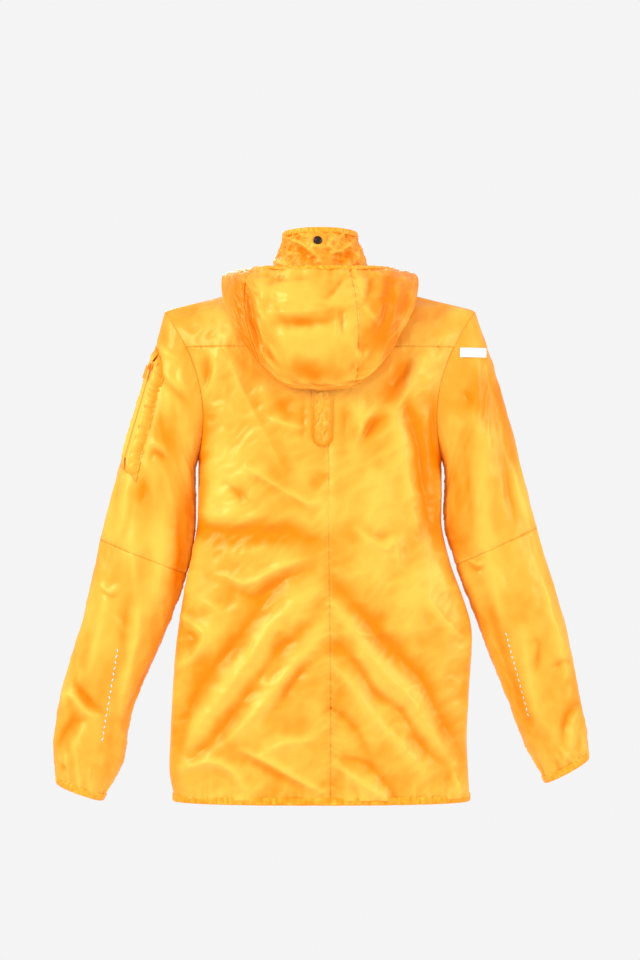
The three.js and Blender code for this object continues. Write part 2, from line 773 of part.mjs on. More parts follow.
piece("storm_flap", "shell", box(26, 1, frontLength - 20, 7, ZIP.y + 5.2, (ZIP.top + ZIP.bottom) / 2));

// Sleeve pocket: a slot in the left upper sleeve behind a short zip, with a bag inside.
function pocketFrame(from, to) {
  const cloth = sleeveSurface("left");
  const a = cloth(rad(POCKET.angle), from);
  const b = cloth(rad(POCKET.angle), to);
  const n = normalAt(cloth, rad(POCKET.angle), (from + to) / 2, -1);
  return { frame: zipFrame(a.clone().addScaledVector(n, POCKET.lift), n, a.clone().sub(b).normalize()), length: a.distanceTo(b) };
}
function withPocketSlot(geometry, cloth) {
  const { frame, length } = pocketFrame(POCKET.from, POCKET.to);
  const slot = placed(box(POCKET.slot, 16, length - 6, 0, -POCKET.lift, -length / 2), frame);
  return geometryOf(solid(geometry).subtract(solid(slot)));
}
const pocket = pocketFrame(POCKET.from, POCKET.to);
piece("sleeve_zip_front_side", "zip", placed(zipSide(-1, pocket.length, 6), pocket.frame));
piece("sleeve_zip_back_side", "zip", placed(zipSide(1, pocket.length, 6), pocket.frame));

const offTop = (distance, lift) => new THREE.Matrix4().makeTranslation(0, lift, -distance);
const sleeveSlider = pocket.frame.clone().multiply(offTop(7, 0));
piece("sleeve_zip_slider", "slider", placed(slider(7, 8), sleeveSlider));
const sleevePuller = pocket.frame.clone().multiply(offTop(8, 8.2));
piece("sleeve_zip_puller", "slider", placed(puller(5, 16), sleevePuller));
piece(
  "sleeve_pocket_bag",
  "shell",
  sheet(sleeveSurface("left"), {
    u: [rad(8), rad(78)],
    v: [0.07, 0.33],
    cells: [4, 3],
    side: -1,
    thickness: 1,
    offset: -6,
  }),
);

// ---------------------------------------------------------------- export
jacket.position.set(0, -LOOP.y, -LOOP.z);
const part = new THREE.Group();
part.add(jacket);
export default part;
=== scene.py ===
# %% [markdown]
# # A thin hooded jacket, hung by its loop
#
# The jacket is an unlined shell of very thin, glossy nylon. Its frame is already packed: stiff solids
# that say where each panel, band, zip and snap lies. This lesson loads that frame and gives it the looks
# of real cloth. Every soft solid is replaced by a sheet with folds, puckered seams and gathered edges.

# %% Load the frame
import math

import bmesh
import bpy
import numpy as np
from mathutils import Matrix, Vector, noise


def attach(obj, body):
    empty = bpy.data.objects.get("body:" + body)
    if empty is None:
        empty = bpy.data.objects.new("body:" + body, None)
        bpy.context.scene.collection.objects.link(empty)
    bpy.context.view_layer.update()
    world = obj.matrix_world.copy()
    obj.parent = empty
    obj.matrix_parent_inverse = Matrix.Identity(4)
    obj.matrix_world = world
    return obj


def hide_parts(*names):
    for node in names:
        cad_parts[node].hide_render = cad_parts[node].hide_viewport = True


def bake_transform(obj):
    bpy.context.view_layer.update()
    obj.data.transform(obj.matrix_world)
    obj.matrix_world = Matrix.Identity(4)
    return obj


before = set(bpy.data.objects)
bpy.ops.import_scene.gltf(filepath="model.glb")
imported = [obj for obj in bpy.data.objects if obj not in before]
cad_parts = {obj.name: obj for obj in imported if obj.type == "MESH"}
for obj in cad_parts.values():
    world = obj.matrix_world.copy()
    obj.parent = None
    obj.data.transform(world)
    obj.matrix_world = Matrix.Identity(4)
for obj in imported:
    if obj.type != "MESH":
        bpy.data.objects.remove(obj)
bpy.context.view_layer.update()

# %% [markdown]
# ## Small tools for shaping cloth
#
# A tailor measures in millimetres, with the shoulder seams as the middle plane and the neck seam as
# height zero. Shapes here are written that way and moved into the frame at the very end, in `place`.
# Working on whole arrays of points at once keeps the script quick.

# %% Measures and curves
MM = 0.001
SHIFT = np.array([0.0, -36.0, -6.0])  # from garment measures to the frame's origin at the hang loop


def place(points):
    return (points + SHIFT) * MM


def lerp(a, b, t):
    return a + (b - a) * t


def smooth(t):
    t = np.clip(t, 0, 1)
    return t * t * (3 - 2 * t)


def power(a, p):
    return np.sign(a) * np.abs(a) ** p


def unit(v):
    return v / np.maximum(np.linalg.norm(v, axis=-1, keepdims=True), 1e-9)


def xyz(x, y, z):
    return np.stack(np.broadcast_arrays(x, y, z), -1).astype(float)


def through(pairs):
    """A smooth curve of value against position through the listed pairs."""
    at = np.array([p[0] for p in pairs], float)
    value = np.array([p[1] for p in pairs], float)
    slope = np.empty_like(value)
    slope[1:-1] = (value[2:] - value[:-2]) / (at[2:] - at[:-2])
    slope[0] = (value[1] - value[0]) / (at[1] - at[0])
    slope[-1] = (value[-1] - value[-2]) / (at[-1] - at[-2])

    def read(x):
        x = np.clip(np.asarray(x, float), at[0], at[-1])
        i = np.clip(np.searchsorted(at, x, side="right") - 1, 0, len(at) - 2)
        h = at[i + 1] - at[i]
        t = (x - at[i]) / h
        a = value[i] * (2 * t**3 - 3 * t * t + 1) + value[i + 1] * (3 * t * t - 2 * t**3)
        return a + h * slope[i] * (t**3 - 2 * t * t + t) + h * slope[i + 1] * (t**3 - t * t)

    return read


# %% [markdown]
# ## Folds and wrinkles
#
# A fold in thin nylon is a ridge with a hollow beside it. Each one is drawn as a stroke: a height, a
# width and a line across the panel. Fine crumples come from smooth noise,
# which is the same on every run.

# %% Strokes and crumples
def smooth_line(points, steps=8):
    """The drawn corners of a stroke, rounded into a curve."""
    p = np.array([points[0], *points, points[-1]], float)
    t = np.linspace(0, 1, steps, endpoint=False)[:, None]
    curve = []
    for a, b, c, d in zip(p, p[1:], p[2:], p[3:]):
        bend = (2 * a - 5 * b + 4 * c - d) * t**2 + (3 * b - a - 3 * c + d) * t**3
        curve.append(0.5 * (2 * b + (c - a) * t + bend))
    return np.vstack([*curve, p[-1:]])


def stroke(x, z, height, width, points):
    line = smooth_line(points)
    low, high = line.min(0) - 3.2 * width, line.max(0) + 3.2 * width
    close = (x > low[0]) & (x < high[0]) & (z > low[1]) & (z < high[1])
    rise = np.zeros(np.shape(x))
    x, z = x[close], z[close]
    best = np.full(np.shape(x), 1e9)
    along = np.zeros(np.shape(x))
    lengths = np.linalg.norm(np.diff(line, axis=0), axis=1)
    total = lengths.sum()
    start = 0.0
    for (ax, az), (bx, bz), length in zip(line, line[1:], lengths):
        dx, dz = bx - ax, bz - az
        t = np.clip(((x - ax) * dx + (z - az) * dz) / max(length**2, 1e-9), 0, 1)
        d = np.hypot(x - ax - dx * t, z - az - dz * t)
        near = d < best
        along = np.where(near, (start + t * length) / total, along)
        best = np.where(near, d, best)
        start += length
    ends = np.sin(math.pi * np.clip(0.06 + 0.88 * along, 0, 1)) ** 0.7
    rise[close] = height * ends * np.exp(-((best / width) ** 1.45))
    return rise


def drawn(x, z, strokes):
    return sum(stroke(x, z, *s) for s in strokes)


def crumple(a, b, seed=0.0):
    """Smooth noise between about -1 and 1 at the scaled places a, b."""
    a, b = np.broadcast_arrays(np.asarray(a, float), np.asarray(b, float))
    flat = [noise.noise(Vector((p, q, seed))) for p, q in zip(a.ravel(), b.ravel())]
    return 1.6 * np.array(flat).reshape(a.shape)


def creased(a, b, seed=0.0):
    """Sharp thin ridges with soft hollows between, as creased nylon has."""
    return 1 - 3.2 * np.abs(crumple(a, b, seed) / 1.6)


# %% [markdown]
# ## The garment's shape
#
# The body is a flattened oval that changes with height. The armhole is an upright oval between the
# underarm and the shoulder tip, and the yoke and fronts rise from the chest to the neck and shoulder
# seams. These are the sizes that the frame was cut to, so the cloth lands on it.

# %% The body's surface
HEM_Z, YOKE_Z, ZIP_Y = -656.0, -88.0, -50.0
NECK_X, NECK_BACK, FRONT_DROP = 66.0, 50.0, 42.0
TIP = np.array([196.0, 0.0, -42.0])
UNDERARM = np.array([154.0, 0.0, -228.0])
ARMHOLE_MIDDLE = (TIP + UNDERARM) / 2
ARM_HALF = (TIP - UNDERARM) / 2
ROUNDNESS = 2.5
ARMHOLE_BOW = 24.0
NECK_SHARE = 0.42

half_width = through(
    [(-656, 183), (-600, 187), (-520, 186), (-435, 175), (-354, 158), (-290, 153), (-230, 154),
     (-160, 164), (-88, 184)]
)
back_depth = through([(-656, 50), (-500, 58), (-354, 61), (-230, 62), (-88, 57)])


HUNG_FROM = -240.0
hung_left = through(
    [(-656, 184), (-624, 190), (-578, 189), (-520, 186), (-470, 182.5), (-435, 178), (-395, 171.5),
     (-354, 163), (-315, 155.5), (-290, 153.8), (HUNG_FROM, 153.7)]
)
hung_right = through(
    [(-656, 189), (-610, 186.5), (-577, 185.5), (-523, 188), (-460, 192), (-434, 190), (-400, 179.5),
     (-362, 165.5), (-315, 154), (-290, 153.3), (HUNG_FROM, 153.7)]
)


def hung(p):
    """Below the armholes each side of the body hangs at its own width."""
    x, z = p[..., 0], p[..., 2]
    wide = half_width(z)
    share = np.minimum(np.abs(x) / wide, 1) ** 2
    wanted = np.where(x > 0, hung_left(z), hung_right(z))
    p[..., 0] = x * np.where(z < HUNG_FROM, lerp(1, wanted / wide, share), 1)
    return p


def body_point(back, s, z):
    t = s * math.pi / 2
    depth = back_depth(z) if back > 0 else ZIP_Y
    return xyz(
        half_width(z) * power(np.sin(t), 2 / ROUNDNESS),
        depth * power(np.cos(t), 2 / ROUNDNESS),
        z,
    )


def armhole_point(angle):
    p = ARMHOLE_MIDDLE + np.cos(angle)[..., None] * ARM_HALF
    return p + xyz(-ARMHOLE_BOW * np.sin(angle) ** 2, 36 * np.sin(angle), 0 * angle)


def armhole_angle(z):
    return np.arccos(np.clip(2 * (z - UNDERARM[2]) / (TIP[2] - UNDERARM[2]) - 1, -1, 1))


def armhole_share(back, z):
    depth = back_depth(z) if back > 0 else -ZIP_Y
    edge = np.clip(armhole_point(armhole_angle(z))[..., 1] / depth, 0, 1)
    share = np.arccos(edge ** (ROUNDNESS / 2)) / (math.pi / 2)
    return np.where(z <= UNDERARM[2], 1.0, share)


def neck_point(angle):
    front = smooth((np.abs(angle) - math.radians(70)) / math.radians(100))
    side = np.where(np.cos(angle) > 0, NECK_BACK, -ZIP_Y)
    return xyz(
        NECK_X * power(np.sin(angle), 0.85),
        side * power(np.cos(angle), 0.85),
        -FRONT_DROP * front - 3 * smooth(np.abs(angle) / math.radians(90)),
    )


def top_edge(back, s):
    swing = math.pi / 2 * np.clip(s / NECK_SHARE, -1, 1)
    neck = neck_point(swing if back > 0 else math.pi - swing)
    side = neck_point(np.array(math.pi / 2))
    along = np.clip((s - NECK_SHARE) / (1 - NECK_SHARE), 0, 1.01)[..., None]
    return np.where((s >= NECK_SHARE)[..., None], side + (TIP - side) * along, neck)


def half_body(back, s, row):
    """One half of the back or front: s from the centre line to the side, row 0 hem, 1 yoke, 2 top."""
    z = lerp(HEM_Z, YOKE_Z, np.minimum(row, 1))
    limit = armhole_share(back, z)
    low = body_point(back, s * limit, z)
    edge = body_point(back, limit, z)[..., 0]
    armhole = armhole_point(armhole_angle(z))[..., 0]
    low[..., 0] += np.where(z > UNDERARM[2], (armhole - edge) * s**4, 0)
    up = np.clip(row - 1, 0, 1)
    top = top_edge(back, s)
    straight = low + (top - low) * up[..., None]
    bulge = 4 * up * (1 - up) * (1 + 10 * smooth((s - 0.2) / 0.35)) * (1 - s**6)
    made = straight + xyz(0 * s, back * bulge * 0.75, bulge * 0.66)
    hole = armhole_point(armhole_angle(lerp(YOKE_Z, TIP[2], up)))
    share = np.where(s > 0.5, (2 * (s - 0.5)) ** 2 * s**8, 0)
    made[..., 0] += (hole[..., 0] - straight[..., 0]) * share
    made[..., 1] += np.where(s > 0.5, (back * hole[..., 1] - straight[..., 1]) * s**12, 0)
    return np.where((row > 1)[..., None], made, low)


def back_base(u, row):
    """The whole back: u runs from -1 at the wearer's right side to 1 at the left."""
    p = half_body(1, np.abs(u) ** 1.25, row)
    p[..., 0] *= np.where(u < 0, -1, 1)
    return hung(p)


def front_base(u, row):
    s = np.abs(u) ** 1.25
    p = half_body(-1, s, row)
    p[..., 0] = (p[..., 0] + 5.2 * (1 - s) ** 2) * np.where(u < 0, -1, 1)
    return hung(p)


# %% [markdown]
# ## Drawing the folds of the back
#
# On the hanger the weight of the cloth hangs from the shoulders and the centre seam holds it short, so
# long folds run down and outwards from the seam to both ends of the hem. Softer ones fall from the
# shoulders and swing round the blades. The seam itself puckers, and the elastic gathers the hem.

# %% Strokes on the back
BACK_STROKES = [
    # long folds from the centre seam to the wearer's left end of the hem
    (-6.5, 13, [(39, -371), (73, -410), (101, -452), (132, -488), (160, -533), (180, -605)]),
    (5.5, 9, [(5, -390), (45, -420), (80, -465), (118, -520), (150, -560), (172, -600)]),
    (-5.5, 10, [(-4, -404), (17, -435), (56, -474), (87, -516), (120, -561), (168, -612)]),
    (4.5, 7, [(-2, -450), (30, -480), (60, -520), (95, -560), (140, -600), (172, -616)]),
    (-4, 8, [(-3, -469), (20, -488), (48, -527), (70, -560)]),
    # and to the right end
    (-6.5, 12, [(-14, -379), (-50, -418), (-83, -460), (-122, -497), (-147, -544), (-170, -585)]),
    (5.5, 8, [(-10, -400), (-40, -440), (-75, -490), (-110, -525), (-140, -570), (-165, -610)]),
    (-5.5, 9, [(-12, -455), (-44, -480), (-69, -519), (-103, -544), (-125, -583), (-160, -616)]),
    (4.5, 7, [(-12, -480), (-40, -510), (-66, -550), (-95, -580), (-130, -620)]),
    (-4, 7, [(-12, -536), (-44, -564), (-62, -600)]),
    # lens-shaped folds just above the hem
    (4.5, 6, [(176, -615), (137, -606), (112, -614), (92, -640)]),
    (5.5, 5, [(97, -590), (60, -607), (25, -628), (-6, -643)]),
    (-4.5, 7, [(90, -600), (50, -622), (15, -638)]),
    (5.5, 5, [(-20, -606), (-45, -628), (-70, -645), (-85, -655)]),
    (-4.5, 7, [(-22, -600), (-55, -606), (-80, -630), (-95, -652)]),
    (4, 5, [(73, -597), (45, -582), (12, -577)]),
    (3.5, 4, [(-166, -618), (-172, -636), (-176, -652)]),
    # waist
    (4.5, 5, [(120, -372), (90, -383), (56, -366), (17, -352)]),
    (-4, 8, [(110, -388), (80, -400), (50, -380), (15, -366)]),
    (4.5, 5, [(178, -424), (143, -446), (157, -474), (178, -490)]),
    (-3.5, 7, [(172, -440), (158, -455), (170, -470)]),
    (4, 5, [(-135, -405), (-158, -434), (-180, -453)]),
    (-6, 20, [(165, -312), (110, -322), (50, -322), (-5, -330)]),
    (4, 13, [(170, -290), (120, -300), (60, -298)]),
    (5, 5, [(-46, -316), (-78, -340), (-92, -333), (-98, -362)]),
    (-4, 8, [(-56, -318), (-74, -326), (-88, -322)]),
    # shoulder blades
    (4.5, 4, [(166, -100), (158, -135), (151, -165), (149, -200)]),
    (4.5, 6, [(128, -96), (131, -122), (145, -150), (150, -175)]),
    (-4.5, 7, [(140, -100), (140, -130), (147, -158)]),
    (-5.5, 10, [(101, -125), (81, -168), (62, -207), (45, -236)]),
    (4.5, 7, [(110, -110), (92, -150), (72, -190), (47, -240)]),
    (-4.5, 12, [(55, -150), (45, -165), (30, -178)]),
    (4, 5, [(62, -178), (40, -186), (20, -190)]),
    (5, 5, [(90, -240), (60, -258), (30, -276), (10, -284), (-4, -276)]),
    (-4.5, 8, [(80, -252), (45, -268), (15, -292)]),
    (-3.5, 6, [(122, -256), (105, -268), (90, -282)]),
    (-5.5, 11, [(-78, -160), (-98, -130), (-114, -98)]),
    (4.5, 7, [(-92, -170), (-112, -140), (-128, -104)]),
    (-4.5, 9, [(-50, -208), (-66, -184), (-90, -174)]),
    (4, 5, [(-44, -214), (-56, -180), (-70, -160)]),
    (-5.5, 9, [(-104, -156), (-122, -205), (-131, -260), (-140, -310)]),
    (4.5, 8, [(-92, -175), (-104, -220), (-112, -270), (-122, -320)]),
    (-5, 8, [(-142, -163), (-148, -210), (-153, -247)]),
    # soft upright folds under the hood
    (3, 6, [(-14, -150), (-15, -220), (-14, -300)]),
    (-2.5, 7, [(-30, -150), (-30, -230)]),
    (3, 7, [(-50, -150), (-53, -210)]),
    (-3, 5, [(19, -150), (21, -212)]),
]


SHOULDER_SEAMS = [
    [(119, -29), (150, -37), (176, -45)],
    [(119, -34), (150, -42), (174, -50)],
    [(-116, -21), (-155, -29), (-182, -40)],
    [(-116, -26), (-153, -34), (-180, -45)],
]


def hem_gathers(along, z):
    """Short upright gathers that fade out above the elastic."""
    rise = np.exp(-np.maximum(z - HEM_Z, 0) / 15)
    return rise * (1.5 * crumple(along / 5.5, z / 60, 3) + 0.9 * crumple(along / 11, z / 50, 8))


def seam_pucker(off, along, seed, reach=11, depth=1.3):
    """Small slanting puckers on both sides of a seam, and the groove of the seam itself."""
    slant = along + 0.55 * np.abs(off)
    pucker = crumple(slant / 5.2, off / 26, seed) + 0.6 * crumple(slant / 2.7, off / 15, seed + 5)
    return depth * pucker * np.exp(-np.abs(off) / reach) - 0.4 * np.exp(-((off / 1.2) ** 2))


BACK_SEAM = -0.0503  # the seam hangs a little to the wearer's right


def seam_x(z):
    return -half_width(z) * math.sin(0.0238 * math.pi / 2) ** 0.8


def back_relief(u, row, p):
    x, z = p[..., 0], p[..., 2]
    s = np.abs(u)
    inner = (1 - smooth((s - 0.9) / 0.1)) * (1 - smooth((row - 1.9) / 0.1))
    relief = 1.05 * drawn(x, z, BACK_STROKES) * inner
    relief += inner * (1.6 * crumple(x / 46, z / 70, 1) + 0.45 * crumple(x / 15, z / 19, 2))
    creases = 1.05 * creased(x / 40 + z / 90, z / 34, 61) + 0.5 * creased(x / 17, z / 15 + x / 40, 62)
    relief += inner * creases
    strength = 0.35 + 0.65 * smooth((-z - 250) / 200)
    below = smooth((-z - 120) / 40)
    relief += strength * below * seam_pucker(x - seam_x(z), z, 4)
    yoke = np.where(s > 0.3, seam_pucker(z - YOKE_Z, x, 6, reach=7, depth=0.8), 0)
    relief += yoke * inner
    relief += hem_gathers(x, z) * inner
    for felled in SHOULDER_SEAMS:
        relief += inner * stroke(x, z, -0.9, 1.3, felled)
    under_hood = smooth((z + 150) / 40) * (1 - smooth((np.abs(x) - 70) / 30))
    under_strap = smooth((z + 222) / 20) * (1 - smooth((np.abs(x + 3) - 14) / 14))
    relief *= (1 - 0.85 * under_hood) * (1 - 0.7 * under_strap)
    return relief - 0.35 * smooth((s - 0.99) / 0.01)


def front_relief(u, row, p):
    """The front hangs more quietly: the back's folds seen the other way round, and softer."""
    x, z = p[..., 0], p[..., 2]
    s = np.abs(u)
    inner = smooth((s - 0.03) / 0.12) * (1 - smooth((s - 0.9) / 0.1)) * smooth((2 - row) / 0.25)
    relief = 0.7 * drawn(-x, z, BACK_STROKES[:10] + BACK_STROKES[29:31] + BACK_STROKES[36:38])
    relief += 1.8 * crumple(x / 46, z / 75, 11) + 0.5 * crumple(x / 15, z / 22, 12)
    relief += hem_gathers(x + 400, z)
    near_zip = seam_pucker(np.maximum(np.abs(x) - 6, 0), z, 14, reach=9, depth=0.9) + 0.9
    edge = 1 - smooth((s - 0.9) / 0.1)
    zip_side = 0.5 * near_zip * edge * smooth((2 - row) / 0.1) * (1 - inner)
    low = smooth((-z - 550) / 30)  # the cloth lies flat at the bottom, where the slider comes to rest
    zip_side *= 1 - low
    inner *= 1 - low * (1 - smooth((np.abs(x) - 12) / 14))
    return relief * inner + zip_side - 0.35 * smooth((s - 0.99) / 0.01)


def raised(base, relief, side):
    """The base surface moved along its own outward direction by the relief."""

    def shape(u, v):
        e = 1e-3
        p = base(u, v)
        n = np.cross(base(u + e, v) - base(u - e, v), base(u, v + e) - base(u, v - e))
        return p + unit(n) * side * relief(u, v, p)[..., None]

    return shape


back_shape = raised(back_base, back_relief, -1)
front_shape = raised(front_base, front_relief, 1)
print("folds drawn on the back:", len(BACK_STROKES))

# %% [markdown]
# ## Materials
#
# The nylon is one thin coloured film. A painted tone moves its colour from deep amber, painted shade in
# the hollows, to a pale amber, painted light on the ridges. A group called *nylon weave* gives the fine
# threads and the slight unevenness of the dye. Each material mixes its Principled shader with a
# Translucent one, since light passes through.

# %% The weave group
def node(tree, kind, **inputs):
    made = tree.nodes.new(kind)
    for name, value in inputs.items():
        socket = made.inputs[int(name[1:])] if name[0] == "_" and name[1:].isdigit() else made.inputs[name]
        if isinstance(value, bpy.types.NodeSocket):
            tree.links.new(value, socket)
        else:
            socket.default_value = value
    return made


def maths(tree, operation, a, b=0.5):
    made = tree.nodes.new("ShaderNodeMath")
    made.operation = operation
    for socket, value in zip(made.inputs, (a, b)):
        if isinstance(value, bpy.types.NodeSocket):
            tree.links.new(value, socket)
        else:
            socket.default_value = value
    return made.outputs[0]


def weave_group():
    tree = bpy.data.node_groups.new("nylon weave", "ShaderNodeTree")
    face = tree.interface
    for name, start in (("Thread Size", 0.0006), ("Unevenness", 0.5)):
        face.new_socket(name, in_out="INPUT", socket_type="NodeSocketFloat").default_value = start
    for name in ("Threads", "Dye"):
        face.new_socket(name, in_out="OUTPUT", socket_type="NodeSocketFloat")
    given = tree.nodes.new("NodeGroupInput")
    out = tree.nodes.new("NodeGroupOutput")
    uv = tree.nodes.new("ShaderNodeUVMap")
    uv.uv_map = "cloth"
    parts = node(tree, "ShaderNodeSeparateXYZ", Vector=uv.outputs[0])
    waves = []
    for axis in ("X", "Y"):
        turns = maths(tree, "DIVIDE", parts.outputs[axis], given.outputs["Thread Size"])
        waves.append(maths(tree, "SINE", maths(tree, "MULTIPLY", turns, 2 * math.pi)))
    crossing = maths(tree, "MULTIPLY", waves[0], waves[1])
    tree.links.new(maths(tree, "MULTIPLY_ADD", crossing, 0.5), out.inputs["Threads"])
    where = tree.nodes.new("ShaderNodeTexCoord")
    cloud = node(tree, "ShaderNodeTexNoise", Vector=where.outputs["Object"], Scale=14.0, Detail=3.0)
    centred = maths(tree, "SUBTRACT", cloud.outputs["Fac"], 0.5)
    tree.links.new(maths(tree, "MULTIPLY", centred, given.outputs["Unevenness"]), out.inputs["Dye"])
    return tree


WEAVE = weave_group()

# %% Cloth materials
def material(name):
    made = bpy.data.materials.new(name)
    made.use_nodes = True
    made.node_tree.nodes.clear()
    return made, made.node_tree


def finish_with(tree, surface):
    out = tree.nodes.new("ShaderNodeOutputMaterial")
    tree.links.new(surface, out.inputs["Surface"])


def nylon(name, light, deep, lucent, roughness=0.3, through_light=0.3):
    """Thin nylon: the fold attribute, a tone of painted light and shade, shifts it from its light colour
    on the ridges to its deep colour in the hollows.
    """
    made, tree = material(name)
    weave = tree.nodes.new("ShaderNodeGroup")
    weave.node_tree = WEAVE
    # The fold attribute is painted light and shade; the weave's Dye adds a real unevenness of the dye.
    fold = tree.nodes.new("ShaderNodeAttribute")
    fold.attribute_name = "fold"
    tone = maths(tree, "ADD", fold.outputs["Fac"], weave.outputs["Dye"])
    ramp = tree.nodes.new("ShaderNodeValToRGB")
    ramp.color_ramp.interpolation = "EASE"
    ramp.color_ramp.elements[0].position = 0.15
    ramp.color_ramp.elements[0].color = (*deep, 1)
    ramp.color_ramp.elements[1].position = 0.85
    ramp.color_ramp.elements[1].color = (*light, 1)
    tree.links.new(tone, ramp.inputs[0])
    bump = node(
        tree, "ShaderNodeBump", Strength=0.12, Distance=0.0002, Height=weave.outputs["Threads"]
    )
    shader = node(
        tree,
        "ShaderNodeBsdfPrincipled",
        **{"Base Color": ramp.outputs[0], "Normal": bump.outputs[0], "Roughness": roughness},
    )
    shader.inputs["Specular IOR Level"].default_value = 0.5
    shader.inputs["Specular Tint"].default_value = (1.0, 0.8, 0.34, 1)
    glow = node(tree, "ShaderNodeBsdfTranslucent", Color=(*lucent, 1))
    mix = node(tree, "ShaderNodeMixShader", _0=through_light, _1=shader.outputs[0], _2=glow.outputs[0])
    finish_with(tree, mix.outputs[0])
    return made


# The second and third colours are the painted highlight and the painted shade of each nylon.
SHELL = nylon("amber nylon", (1.0, 0.635, 0.085), (1.0, 0.29, 0.001), (1.0, 0.42, 0.004))
BAND = nylon("amber binding", (1.0, 0.50, 0.05), (1.0, 0.27, 0.002), (1.0, 0.36, 0.006), 0.42, 0.15)
HOOD = nylon("amber nylon, double", (1.0, 0.60, 0.075), (1.0, 0.245, 0.001), (1.0, 0.36, 0.003))


def plain(name, colour, roughness, metallic=0.0, grain=300.0, depth=0.00005, vary=0.08):
    """A solid finish with a fine grain and a little change of tone."""
    made, tree = material(name)
    where = tree.nodes.new("ShaderNodeTexCoord")
    fine = node(tree, "ShaderNodeTexNoise", Vector=where.outputs["Object"], Scale=grain, Detail=4.0)
    low = tuple(c * (1 - vary) for c in colour)
    mix = tree.nodes.new("ShaderNodeMix")
    mix.data_type = "RGBA"
    tree.links.new(fine.outputs["Fac"], mix.inputs[0])
    mix.inputs[6].default_value = (*low, 1)
    mix.inputs[7].default_value = (*colour, 1)
    bump = node(tree, "ShaderNodeBump", Strength=0.3, Distance=depth, Height=fine.outputs["Fac"])
    shader = node(
        tree,
        "ShaderNodeBsdfPrincipled",
        **{
            "Base Color": mix.outputs[2],
            "Normal": bump.outputs[0],
            "Roughness": roughness,
            "Metallic": metallic,
        },
    )
    finish_with(tree, shader.outputs[0])
    return made


THREAD = plain("amber sewing thread", (1.0, 0.55, 0.08), 0.55)
SNAP = plain("dark lacquered metal", (0.035, 0.02, 0.014), 0.22, 0.7)
PATCH = plain("blank satin patch", (0.88, 0.88, 0.88), 0.45, grain=1200.0)
PRINT = plain("reflective print", (0.80, 0.81, 0.82), 0.3, 0.25, grain=2500.0)
ZIP = plain("amber zip tape", (1.0, 0.36, 0.02), 0.5, grain=1500.0)
SLIDER = plain("amber lacquered slider", (0.9, 0.33, 0.02), 0.28, 0.35)
print("materials:", len(bpy.data.materials))

# %% [markdown]
# ## Cutting a sheet
#
# Real panels are cut flat and then hung. The script does the same: `create_grid` makes the flat cloth,
# and each of its points is carried to its place on the garment. The flat place is kept as the UV map
# *cloth*, so that the threads run with the cut, and a tone of painted light and shade is kept as the
# attribute *fold*.

# %% Cloth pieces
def finish_piece(bm, name, look, body, replaced=(), thickness=0.0):
    mesh = bpy.data.meshes.new(name)
    bm.to_mesh(mesh)
    bm.free()
    for polygon in mesh.polygons:
        polygon.use_smooth = True
    mesh.materials.append(look)
    piece = bpy.data.objects.new(name, mesh)
    bpy.context.collection.objects.link(piece)
    if thickness:
        wall = piece.modifiers.new("wall", "SOLIDIFY")
        wall.thickness = thickness * MM
        wall.offset = -1
    if replaced:
        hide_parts(*replaced)
    if isinstance(body, str):
        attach(piece, body)
    else:
        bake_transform(piece)
    return piece


def arc(points):
    return np.linalg.norm(np.diff(points, axis=0), axis=1).sum() * MM


THREAD_POINTS, THREADS_MEASURED = 150, 9  # a cut's flat size is the longest of these threads each way


def cut_sheet(bm, shape, across, along, cells, facing=None, fold=None):
    """Adds a sheet to bm: a flat grid carried to shape(u, v). facing is (u, v, outward direction)."""
    uv_layer = bm.loops.layers.uv.get("cloth") or bm.loops.layers.uv.new("cloth")
    painted_shading_layer = bm.verts.layers.float.get("fold") or bm.verts.layers.float.new("fold")
    made = bmesh.ops.create_grid(bm, x_segments=cells[0], y_segments=cells[1], size=1)["verts"]
    flat = np.array([v.co[:2] for v in made]) * 0.5 + 0.5
    u = lerp(across[0], across[1], flat[:, 0])
    v = lerp(along[0], along[1], flat[:, 1])
    points = shape(u, v)
    steps = np.linspace(0, 1, THREAD_POINTS)
    levels = [np.full(THREAD_POINTS, level) for level in np.linspace(0, 1, THREADS_MEASURED)]
    wide = max(arc(shape(lerp(*across, steps), lerp(*along, level))) for level in levels)
    high = max(arc(shape(lerp(*across, level), lerp(*along, steps))) for level in levels)
    # fold gives each point its tone of painted light and shade; without it the tone is a plain 0.5.
    painted_tones = fold(u, v, points) if fold else np.full(len(made), 0.5)
    coords = {}
    for vert, p, f, tone in zip(made, place(points), flat, painted_tones):
        vert.co = p
        vert[painted_shading_layer] = float(tone)
        coords[vert] = (f[0] * wide, f[1] * high)
    faces = {face for vert in made for face in vert.link_faces}
    for face in faces:
        for loop in face.loops:
            loop[uv_layer].uv = coords[loop.vert]
    if facing:
        at_u, at_v, outward = facing
        here, du, dv = (shape(np.array([at_u + a]), np.array([at_v + b]))[0]
                        for a, b in ((0, 0), (1e-3, 0), (0, 1e-3)))
        turn = (across[1] - across[0]) * (along[1] - along[0])
        if np.dot(np.cross(du - here, dv - here) * turn, outward) < 0:
            bmesh.ops.reverse_faces(bm, faces=list(faces))
    return wide, high


LEAST_SHARE, MOST_SHARE = 0.32, 0.98


